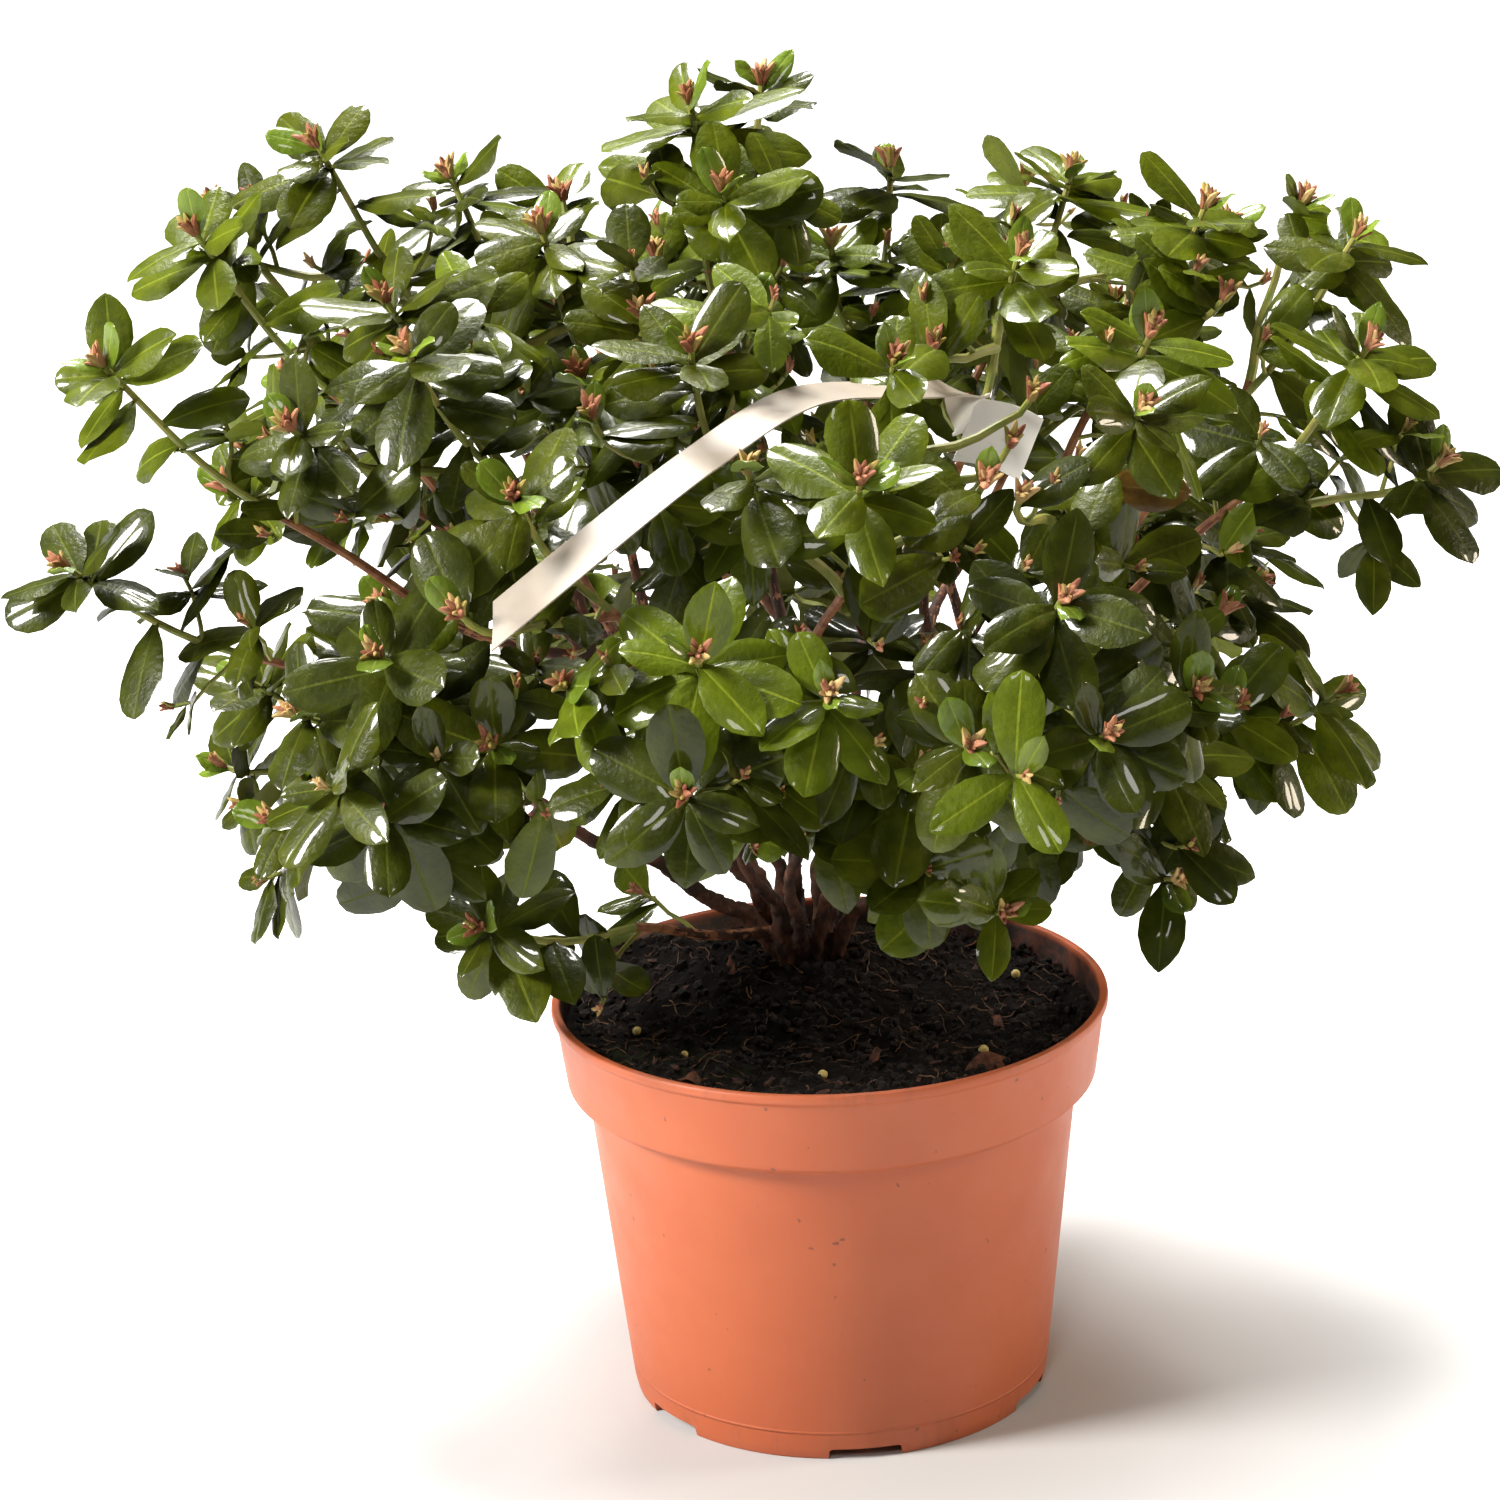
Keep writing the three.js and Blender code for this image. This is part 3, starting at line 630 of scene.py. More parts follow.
# ---- Limbs ----
class Limb:
    """A centre line that leaves one point in one direction, reaches another in another, and sways."""

    STEPS = 200

    def __init__(self, start, leaving, end, arriving, sway, phase):
        length = np.linalg.norm(end - start)
        self.start, self.end = start, end
        self.leaving, self.arriving = leaving * length, arriving * length
        self.across = across_of(unit(end - start))
        self.sway, self.phase = sway, phase
        self.shares = np.linspace(0, 1, self.STEPS + 1)
        steps = np.linalg.norm(np.diff(self.point(self.shares), axis=0), axis=1)
        self.lengths = np.concatenate(([0], np.cumsum(steps)))
        self.length = self.lengths[-1]

    def point(self, t):
        t = np.asarray(t, float)[..., None]
        square, cube = t**2, t**3
        swing = self.sway * np.sin(np.pi * t)
        return (
            (2 * cube - 3 * square + 1) * self.start
            + (cube - 2 * square + t) * self.leaving
            + (3 * square - 2 * cube) * self.end
            + (cube - square) * self.arriving
            + swing * np.sin(3 * np.pi * t + self.phase) * self.across[0]
            + swing * np.cos(3 * np.pi * t + self.phase) * self.across[1]
        )

    def _parameter(self, share):
        return np.interp(np.asarray(share) * self.length, self.lengths, self.shares)

    def at(self, share):
        """The point a share of the way along."""
        return self.point(self._parameter(share))

    def tangent(self, share):
        t = self._parameter(share)
        return unit(self.point(min(1, t + 1e-4)) - self.point(max(0, t - 1e-4)))

    def spaced(self, steps):
        return self.at(np.linspace(0, 1, steps + 1))


def bough_limb(bough, index):
    slope = math.radians(bough.slope)
    leaving = polar(bough.azimuth, math.cos(slope), math.sin(slope))
    end = FORK + polar(bough.azimuth, bough.reach, bough.height)
    phase = seeded(SEED + index)() * 2 * math.pi
    start = FORK + leaving * (TRUNK_DOME + GAP)
    return Limb(start, leaving, end, growing_direction(end), SWAY, phase)


def stem_limb(mass, random):
    """A mass's own stem leaves its fork spread wider than its tip lies."""
    fork, radius = forks[mass.bough]
    siblings = [tips[other.name] for other in MASSES if other.bough == mass.bough]
    mean = unit(sum(unit(tip - fork) for tip in siblings))
    tip = tips[mass.name]
    straight = unit(tip - fork)
    leaving = unit(straight + STEM_SPREAD * (straight - mean))
    start = fork + leaving * (radius + GAP)
    return Limb(start, leaving, tip, growing_direction(tip), SWAY, random() * 2 * math.pi)


def mass_stem(name):
    return stem_limbs[[mass.name for mass in MASSES].index(name)]


def side_shoots(index, stem, random):
    """Shoots that leave the stem for tips in a ring below its own, where they keep to their space."""
    tip = stem.end
    direction = growing_direction(tip)
    side, above = across_of(direction)
    turn = random() * 360
    shoots = []
    for i in range(SHOOT_TRIES):
        if len(shoots) == MASSES[index].shoots - 1:
            break
        angle = math.radians(turn + i * GOLDEN_ANGLE)
        spread = SHOOT_SPREAD * (0.8 + 0.4 * random())
        drop = SHOOT_DROP * (0.4 + 1.2 * random())
        foot = stem.at(0.55 + 0.25 * random())
        end = tip + side * spread * math.cos(angle) + above * spread * math.sin(angle) - direction * drop
        phase = random() * 2 * math.pi
        shoot = Limb(foot, unit(end - foot), end, growing_direction(end), 0.4 * SWAY, phase)
        if fits(shoot.spaced(20), foot, 1.2 * np.linalg.norm(foot - end), index):
            shoots.append(shoot)
    return shoots


# ---- Each mass keeps to its own space ----
tips = {mass.name: FORK + polar(mass.azimuth, mass.reach, mass.height) for mass in MASSES}
SITES = np.array([tip - growing_direction(tip) * SHOOT_DROP for tip in tips.values()])


class Obstacles:
    """Points that shoots and leaves keep clear of, each with how far it reaches and the limb it is on."""

    def __init__(self):
        self.places = np.empty((0, 3))
        self.reach = np.empty(0)
        self.owners = np.empty(0, str)

    def add(self, owner, places, radius):
        self.places = np.concatenate((self.places, places))
        self.reach = np.concatenate((self.reach, np.full(len(places), radius + LIMB_CLEARANCE)))
        self.owners = np.concatenate((self.owners, np.full(len(places), owner)))


obstacles = Obstacles()


def in_own_space(points, index):
    own = ((points - SITES[index]) ** 2).sum(1)
    others = ((points[:, None] - SITES[None]) ** 2).sum(2)
    margin = GAP * np.linalg.norm(SITES - SITES[index], axis=1)
    nearer = others - own[:, None] > margin
    nearer[:, index] = True
    return nearer.all()


def soil_height(x, y):
    """Level near the wall, and mounded round the trunk."""
    distance = np.hypot(x - TRUNK[0], y - TRUNK[1])
    slope = smoothstep(distance, TRUNK_FLARE + 1, MOUND_RADIUS + 12)
    return TRUNK[2] - GAP - MOUND_HEIGHT * slope


def clear_of_pot(points):
    outside = np.hypot(points[:, 0], points[:, 1]) > RIM_RADIUS + POT_CLEARANCE
    over = points[:, 2] > np.maximum(POT_HEIGHT, soil_height(points[:, 0], points[:, 1])) + POT_CLEARANCE
    return (outside | over).all()


def fits(points, middle, reach, index):
    """Whether points within a reach of a middle keep to a mass's space and clear of other limbs."""
    if not clear_of_pot(points) or not in_own_space(points, index):
        return False
    apart = np.linalg.norm(obstacles.places - middle, axis=1)
    near = (apart < reach + obstacles.reach) & (obstacles.owners != MASSES[index].name)
    gaps = np.linalg.norm(points[:, None] - obstacles.places[near][None], axis=2)
    return bool((gaps > obstacles.reach[near]).all())


# ---- Tubes ----
def tube(points, radii, sides):
    """A round limb's places and faces, from its centre line, closed at both ends."""
    points = np.asarray(points, float)
    steps = len(points)
    tangents = np.gradient(points, axis=0)
    tangents /= np.linalg.norm(tangents, axis=1)[:, None]
    side = across_of(tangents[0])[0] if abs(tangents[0][2]) < 0.99 else np.array((1.0, 0, 0))
    angles = np.arange(sides) * 2 * np.pi / sides
    rings = []
    for place, tangent, radius in zip(points, tangents, radii):
        side = unit(side - tangent * np.dot(side, tangent))
        above = np.cross(tangent, side)
        ring = place + radius * (np.cos(angles)[:, None] * side + np.sin(angles)[:, None] * above)
        rings.append(ring)
    here = np.arange(sides)
    after = (here + 1) % sides
    low = np.arange(steps - 1)[:, None] * sides
    walls = np.stack((low + here, low + after, low + sides + after, low + sides + here), axis=2)
    last = (steps - 1) * sides
    loops = np.concatenate((walls.ravel(), here[::-1], last + here))
    totals = np.concatenate((np.full((steps - 1) * sides, 4), (sides, sides)))
    return np.concatenate(rings), (loops, totals, np.zeros(len(totals), int))


# ---- Pot ----
def make_pot():
    """A thin-walled pot with a stepped collar, a notched foot ring and drain holes."""
    profile = [
        (PAD_RADIUS - 1, 0),
        (PAD_RADIUS, FOOT_HEIGHT),
        (BASE_RADIUS - FOOT_WIDTH, FOOT_HEIGHT),
        (BASE_RADIUS - FOOT_WIDTH + 0.5, 0),
        (BASE_RADIUS - 0.9, 0),
        (BASE_RADIUS, FOOT_HEIGHT),
        (WALL_TOP, STEP_HEIGHT - 2.2),
        (COLLAR_FOOT - 1.2, STEP_HEIGHT - 0.3),
        (COLLAR_FOOT, STEP_HEIGHT + 1),
        (COLLAR_RADIUS, COLLAR_TOP),
        (RIM_RADIUS, POT_HEIGHT - 2.5),
        (RIM_RADIUS - 0.3, POT_HEIGHT),
        (COLLAR_RADIUS - WALL, POT_HEIGHT),
        (COLLAR_FOOT - WALL, STEP_HEIGHT + 2.6),
        (WALL_TOP - WALL, STEP_HEIGHT - 0.6),
        (BASE_RADIUS - WALL, FLOOR_TOP),
    ]
    pot = turned("nursery_pot", profile, POT_SIDES, plastic_pot_finish())
    finished_with(pot, "BEVEL", width=0.6 * MM, segments=3, limit_method="ANGLE", angle_limit=0.4)
    for i in range(NOTCHES):
        turn = math.radians(FIRST_NOTCH + i * 360 / NOTCHES)
        for shape in (notch_cutter, hole_cutter):
            cutter = shape(turn)
            finished_with(pot, "BOOLEAN", operation="DIFFERENCE", solver="EXACT", object=cutter)
            bpy.data.objects.remove(cutter)
    smooth(pot, 35)
    return dressed(pot, "pot_plastic", "pot")


def notch_cutter(turn):
    """A block with rounded edges, which cuts one gap in the foot ring."""
    deselect_all()
    place = (BASE_RADIUS * math.cos(turn) * MM, BASE_RADIUS * math.sin(turn) * MM, 0)
    bpy.ops.mesh.primitive_cube_add(size=1, location=place, rotation=(0, 0, turn))
    cutter = bpy.context.active_object
    cutter.scale = ((2 * FOOT_WIDTH + 4) * MM, NOTCH_WIDTH * MM, (2 * FOOT_HEIGHT - 1) * MM)
    named("cutter")
    return finished_with(cutter, "BEVEL", width=1.2 * MM, segments=3)


def hole_cutter(turn):
    """A round pin, which cuts one drain hole."""
    deselect_all()
    place = (HOLE_RING * math.cos(turn) * MM, HOLE_RING * math.sin(turn) * MM, FLOOR_TOP * MM)
    bpy.ops.mesh.primitive_cylinder_add(
        vertices=24, radius=HOLE_RADIUS * MM, depth=3 * FLOOR_TOP * MM, location=place
    )
    return named("cutter")


# ---- Root ball ----
def soil_surface(x, y):
    """The soil's height with its lumps."""
    edge = 1 - smoothstep(np.hypot(x, y), 70, 81)
    lumps = relief((x, y, 0), 16, 2.6) + relief((x, y, 9), 5.5, 1.3) + relief((x, y, 5), 2.2, 0.7)
    bank = BANK_HEIGHT * (1 - smoothstep(np.hypot(x - BANK[0], y - BANK[1]), 4, BANK_RADIUS))
    return soil_height(x, y) + (0.4 + 0.6 * edge) * lumps + bank - 0.4


def make_root_ball():
    """The peat, drawn back from the wall where it has dried, and ragged at its edge."""
    top = COLLAR_RADIUS - WALL - SOIL_GAP - 0.8
    profile = [
        (BASE_RADIUS - WALL - SOIL_GAP, FLOOR_TOP + GAP),
        (WALL_TOP - WALL - SOIL_GAP, STEP_HEIGHT - 0.2),
        (COLLAR_FOOT - WALL - SOIL_GAP, STEP_HEIGHT + 3),
        (top - 0.6, SOIL_EDGE - 6),
        (top, SOIL_EDGE - 2),
    ]
    profile += [(top * (1 - i / SOIL_RINGS) ** 0.9 + 0.2, SOIL_EDGE) for i in range(SOIL_RINGS)]
    ball = turned("root_ball_peat", profile, SOIL_SIDES, peat_finish())
    shrink_at = polar(SHRINK_AZIMUTH, 1, 0)
    places = places_of(ball)
    for place in places:
        if place[2] < SOIL_EDGE - 3:
            continue
        radius = math.hypot(place[0], place[1])
        outward = np.array((place[0] / radius, place[1] / radius, 0))
        shrink = max(0, np.dot(outward, shrink_at)) ** 4
        ragged = 1.6 * relief(40 * outward, 9) - 0.6
        inset = smoothstep(radius, 0.86 * top, top) * (SHRINK_DEPTH * shrink - min(0, ragged))
        place -= outward * inset
        if place[2] > SOIL_EDGE - 1:
            place[2] = soil_surface(place[0], place[1])
    move_to(ball, places)
    smooth(ball, 80)
    return dressed(ball, "peat", "root_ball")


SOIL_REACH = 79  # how far from the middle things lie on the soil
FIRST_SCRAP = (-29, 7.5)
BEADS = ((192, 60), (213, 53), (266, 50), (318, 60), (20, 62), (140, 64), (95, 66))  # azimuth and reach


def crumb_model():
    """One rough crumb, a millimetre in radius."""
    deselect_all()
    bpy.ops.mesh.primitive_ico_sphere_add(subdivisions=1, radius=MM)
    crumb = named("crumb")
    places = places_of(crumb)
    move_to(crumb, [place * (1 + relief(place, 1.1, 0.5)) for place in places])
    return model_of(crumb)


def chip_model():
    """One flat chip of bark, 1 millimetre across and 2 long."""
    deselect_all()
    bpy.ops.mesh.primitive_cube_add(size=2 * MM)
    chip = named("chip")
    edit(lambda: bpy.ops.mesh.subdivide(number_cuts=1))
    places = places_of(chip) * (0.5, 1, 0.22)
    move_to(chip, [place * (1 + relief(place * 2, 1.0, 0.45)) for place in places])
    return model_of(chip)


def scatter(count, spread, rng):
    """Seeded places on the soil, clear of the trunk. A smaller spread moves them out to the wall."""
    places = []
    while len(places) < count:
        angle = rng.uniform(0, 2 * np.pi)
        radius = SOIL_REACH * rng.uniform(0, 1) ** spread
        x, y = radius * math.cos(angle), radius * math.sin(angle)
        if np.hypot(x - TRUNK[0], y - TRUNK[1]) > TRUNK_DOME - 3:
            places.append(np.array((x, y, soil_surface(x, y))))
    return places


def any_turn(rng):
    """A seeded turn of any kind, as a matrix."""
    w, x, y, z = unit(rng.normal(size=4))
    return np.array(
        (
            (1 - 2 * (y * y + z * z), 2 * (x * y - z * w), 2 * (x * z + y * w)),
            (2 * (x * y + z * w), 1 - 2 * (x * x + z * z), 2 * (y * z - x * w)),
            (2 * (x * z - y * w), 2 * (y * z + x * w), 1 - 2 * (x * x + y * y)),
        )
    )


def make_crumbs(rng):
    shape, faces = crumb_model()
    crumbs = Copies()
    for place in scatter(2600, 0.55, rng):
        size = 0.5 + 1.5 * rng.uniform() ** 2.5
        stretch = rng.uniform(0.7, 1.3, 3)
        crumbs.add(place + (shape * stretch * size) @ any_turn(rng).T, faces)
    finish = speckled_finish("peat_crumbs", "070402", "1c110b", 2, 0.95, 0.3)
    dressed(crumbs.joined("soil_crumbs", finish, angle=20), "peat")


def make_bark_chips(rng):
    shape, faces = chip_model()
    chips = Copies()
    for place in scatter(170, 0.5, rng):
        size = rng.uniform(0.8, 2.6)
        lean = any_turn(rng) * 0.35 + np.eye(3) * 0.65
        spin = rng.uniform(0, 2 * np.pi)
        turn = np.array(Matrix.Rotation(spin, 3, "Z"))
        stretch = rng.uniform(0.6, 1.3, 3)
        chips.add(place + (0, 0, 0.3) + (shape * stretch * size) @ (lean @ turn).T, faces)
    finish = speckled_finish("chip_bark", "1e120b", "4a2f1f", 2.5, 0.85, 0.3)
    dressed(chips.joined("bark_chips", finish, angle=25), "peat")


def make_fine_roots(rng):
    roots = Copies()
    points = 8
    for place in scatter(210, 0.55, rng):
        heading = rng.uniform(0, 2 * np.pi)
        bend = rng.uniform(-0.16, 0.16)
        length = rng.uniform(5, 15)
        line = []
        here = place.copy()
        for _ in range(points):
            line.append((here[0], here[1], soil_surface(here[0], here[1]) + rng.uniform(0.1, 0.7)))
            here = here + np.array((math.cos(heading), math.sin(heading), 0)) * length / (points - 1)
            heading += bend + rng.uniform(-0.25, 0.25)
        if max(math.hypot(x, y) for x, y, _ in line) < SOIL_REACH:
            roots.add(*tube(line, np.full(points, rng.uniform(0.1, 0.24)), 5))
    finish = speckled_finish("root_fibre", "352318", "6b4e38", 3, 0.85, 0.1)
    dressed(roots.joined("fine_roots", finish), "peat")


def make_leaf_scraps(rng):
    """Small curled bits of dead leaf. The first lies left of the trunk, and the others anywhere."""
    shape, faces = leaf_model(POINTED)
    scraps = Copies()
    first = np.array((*FIRST_SCRAP, soil_surface(*FIRST_SCRAP)))
    for root in (first, *scatter(7, 0.4, rng)):
        direction = unit(np.array((rng.normal(), rng.normal(), 0.25)))
        face = np.array((0.5 * rng.normal(), 0.5 * rng.normal(), 1.0))
        place = {
            "root": root + (0, 0, 0.6),
            "direction": direction,
            "face": unit(face - direction * np.dot(face, direction)),
            "slim": rng.uniform(0.9, 1.3),
            "curl": rng.uniform(0.1, 0.5),
            "fold": rng.uniform(-0.9, 0.6),
            "wave": rng.uniform(0.5, 1.5),
            "phase": rng.uniform(0, 6),
        }
        scraps.add(leaf_points(place, rng.uniform(0.3, 0.5), shape), faces)
    finish = speckled_finish("dry_leaf", "2e170c", "6a3d26", 3, 0.8, 0.2)
    dressed(scraps.joined("dry_leaf_scraps", *[finish] * len(LEAF_PARTS), angle=70), "peat")


def make_beads(rng):
    """Round fertiliser beads, half sunk in the soil."""
    deselect_all()
    bpy.ops.mesh.primitive_ico_sphere_add(subdivisions=2, radius=MM)
    shape, faces = model_of(named("bead"))
    beads = Copies()
    for azimuth, reach in BEADS:
        x, y, _ = polar(azimuth, reach, 0)
        size = 1.25 + 0.35 * rng.uniform()
        squash = rng.uniform(0.88, 1.08, 3)
        height = soil_surface(x, y) + 0.75 * size
        beads.add(np.array((x, y, height)) + shape * squash * size, faces)
    finish = speckled_finish("bead_shell", "b39a4e", "d8c684", 1.5, 0.45, 0.05)
    dressed(beads.joined("fertiliser_beads", finish), "peat")


def make_soil_bits():
    """What lies on the soil. One source of chance scatters it all, in this order."""
    rng = np.random.default_rng(SEED)
    make_crumbs(rng)
    make_bark_chips(rng)
    make_fine_roots(rng)
    make_leaf_scraps(rng)
    make_beads(rng)


# ---- Trunk and boughs ----
BOUGH_STEPS = 44
BOUGH_TAPER = 0.32
STUMP_SHARE = 0.34  # of a stem, which is part of the woody frame
STUMP_RADII = (1.95, 1.5)
BARK_VOXEL = 0.82


def woody_lines():
    """Centre line, radii and sides of each bough, from inside the foot, and of each stem's first stretch."""
    lines = []
    for number, (bough, limb) in enumerate(zip(BOUGHS, bough_limbs)):
        foot = TRUNK + polar(bough.azimuth, 3 + 3 * (number % 3), -4)
        line = through([foot, *limb.spaced(BOUGH_STEPS)[4:]], BOUGH_STEPS + 6)
        shares = np.linspace(0, 1, len(line))
        radii = bough.radius * (1 - BOUGH_TAPER * shares) * (1 + 0.2 * np.exp(-8 * shares))
        radii[-3:] *= 1.12
        lines.append((line, radii, 14))
    for mass, stem in zip(MASSES, stem_limbs):
        fork, _ = forks[mass.bough]
        line = np.concatenate(([fork], stem.at(np.linspace(0, STUMP_SHARE, 12))))
        lines.append((line, np.linspace(*STUMP_RADII, len(line)), 12))
    return lines


def raise_bark(wood, lines):
    """Ridges drawn out along each limb, deeper low down and on thick limbs."""
    origins = np.concatenate([line for line, _, _ in lines])
    axes = np.concatenate([np.gradient(line, axis=0) for line, _, _ in lines])
    thickness = np.concatenate([radii for _, radii, _ in lines])
    tree = KDTree(len(origins))
    for i, origin in enumerate(origins):
        tree.insert(origin, i)
    tree.balance()
    places = places_of(wood)
    normals = np.empty(3 * len(places))
    wood.data.vertices.foreach_get("normal", normals)
    for place, normal in zip(places, normals.reshape(-1, 3)):
        _, i, _ = tree.find(place)
        axis = unit(axes[i])
        along = np.dot(place - origins[i], axis)
        stretched = place - 0.72 * axis * along
        low = smoothstep(np.linalg.norm(place - FORK), 60, 12)
        depth = 0.14 + 0.06 * thickness[i] + 0.35 * low
        place += normal * (relief(stretched, 1.5, depth) + relief(place, 5, 0.8 * depth))
    move_to(wood, places)


def make_woody_frame():
    """Trunk, boughs and forks, fused into one skin, with the bark's relief raised on it.

    The boughs fan out side by side from the flared foot, as if it had grown together from stems.
    """
    deselect_all()
    flare = [
        (TRUNK_FLARE - 4, -3),
        (TRUNK_FLARE - 6.5, -0.5),
        (TRUNK_DOME - 6, 1.5),
        (TRUNK_DOME - 9, 4),
        (TRUNK_DOME - 11, 6),
    ]
    wood = turned("woody_frame", flare, 24)
    move_to(wood, places_of(wood) + TRUNK)
    lines = woody_lines()
    limbs = Copies()
    for line, radii, sides in lines:
        limbs.add(*tube(line, radii, sides))
    wood = fused(wood, limbs.joined("limb_tubes"))
    finished_with(wood, "REMESH", mode="VOXEL", voxel_size=BARK_VOXEL * MM)
    finished_with(wood, "SMOOTH", factor=0.5, iterations=3)
    raise_bark(wood, lines)
    smooth(wood, 180)
    wood.data.materials.clear()
    wood.data.materials.append(bark_finish())
    return dressed(wood, "bark", "trunk", *BOUGH_NODES)


# ---- Leaves ----
LEAF_STATIONS = (0, 0.09, 0.2, 0.36, 0.54, 0.72, 0.87, 0.96, 1)
LEAF_COLUMNS = (-1, -0.55, -0.05, 0.05, 0.55, 1)
LEAF_PARTS = ("upper", "midrib", "under")
STALK_SHARE = 0.06
MERGE_DISTANCE = 0.004

# A leaf's outline: powers that shape it towards its stalk and its tip
ROUNDED = (0.74, 0.52)
POINTED = (0.8, 0.74)


def half_breadth(share, outline):
    """How broad a leaf is at a share of its length, as a share of its half width: a stalk, then a blade."""
    foot, tip = outline
    widest = foot / (foot + tip)
    blade = np.clip((share - STALK_SHARE) / (1 - STALK_SHARE), 0, 1)
    breadth = (blade / widest) ** foot * ((1 - blade) / (1 - widest)) ** tip
    return np.clip(breadth, 0.1 - 0.06 * share, 1)


def leaf_sheet(name, outline, columns, lift):
    """One skin of a leaf: a grid whose columns run from stalk to tip, raised between its side veins.

    Places are across, share and above.
    """
    deselect_all()
    bpy.ops.mesh.primitive_grid_add(
        x_subdivisions=len(columns) - 1, y_subdivisions=len(LEAF_STATIONS) - 1, size=2 * MM
    )
    sheet = named(name)
    places = places_of(sheet)
    column = np.rint((places[:, 0] + 1) / 2 * (len(columns) - 1)).astype(int)
    station = np.rint((places[:, 1] + 1) / 2 * (len(LEAF_STATIONS) - 1)).astype(int)
    across = np.array(columns)[column]
    share = np.array(LEAF_STATIONS)[station]
    share = share + 4 * VEIN_LEAN * np.abs(across) * share * (1 - share)
    ridge = np.where(station % 2 == 0, 1, -1) * np.sin(np.pi * np.abs(across)) * np.sin(np.pi * share)
    above = lift * (1 - np.abs(across) ** 3) + VEIN_RIDGE * ridge
    move_to(sheet, np.stack((across * half_breadth(share, outline), share, above), axis=1))
    return sheet


def leaf_model(outline):
    """A leaf with a pillowed upper skin, a narrow midrib and a plain underside, closed round its edge."""
    parts = [bpy.data.materials.new(part) for part in LEAF_PARTS]
    upper = leaf_sheet("upper_skin", outline, LEAF_COLUMNS, 0.5)
    for face in upper.data.polygons:
        off_middle = abs(sum(upper.data.vertices[i].co.x for i in face.vertices))
        face.material_index = 1 if off_middle < 1e-6 else 0
    under = leaf_sheet("under_skin", outline, (-1, 0, 1), -0.5)
    for face in under.data.polygons:
        face.material_index = 2
    for sheet in (upper, under):
        for part in parts:
            sheet.data.materials.append(part)
    use(under)
    edit(lambda: bpy.ops.mesh.flip_normals())
    leaf = fused(upper, under)

    def close_edge():
        bpy.ops.mesh.select_all(action="SELECT")
        bpy.ops.mesh.remove_doubles(threshold=MERGE_DISTANCE * MM)

    edit(close_edge)
    model = model_of(leaf)
    for part in parts:
        bpy.data.materials.remove(part)
    return model


def leaf_points(place, size, shape=None):
    """A leaf's shape, or points spread over it, put in its place.

    Its halves rise from the midrib and curve back at their edges, and its tip curves down.
    """
    across, share, above = (LEAF_TEST if shape is None else shape).T
    length = LEAF_LENGTH * size
    breadth = 0.5 * LEAF_WIDTH * size * place["slim"]
    side = np.cross(place["direction"], place["face"])
    out = np.abs(across)
    arched = -place["curl"] * length * share**2.2
    folded = place["fold"] * breadth * (out - 1.5 * out**2)
    waved = place["wave"] * across**2 * np.sin(place["phase"] + 9 * share + 1.4 * np.sign(across))
    groove = -0.5 * LEAF_BODY * (np.abs(across) < 0.1) * (above > 0)
    height = arched + folded + waved + groove + above * LEAF_BODY
    return (
        place["root"]
        + np.outer(share * length - 0.6, place["direction"])
        + np.outer(across * breadth, side)
        + np.outer(height, place["face"])
    )


def test_points():
    """Points spread over a leaf's blade."""
    shares = np.repeat(np.linspace(0.15, 1, TEST_ROWS), TEST_COLUMNS)
    across = np.tile(np.linspace(-1, 1, TEST_COLUMNS), TEST_ROWS)
    return np.stack((across * half_breadth(shares, ROUNDED), shares, np.zeros(len(shares))), axis=1)


def test_faces():
    """The faces between those points, each by the numbers of its four corners."""
    corners = [row * TEST_COLUMNS + i for row in range(TEST_ROWS - 1) for i in range(TEST_COLUMNS - 1)]
    return [(i, i + 1, i + TEST_COLUMNS + 1, i + TEST_COLUMNS) for i in corners]


LEAF_TEST = test_points()
TEST_FACES = test_faces()


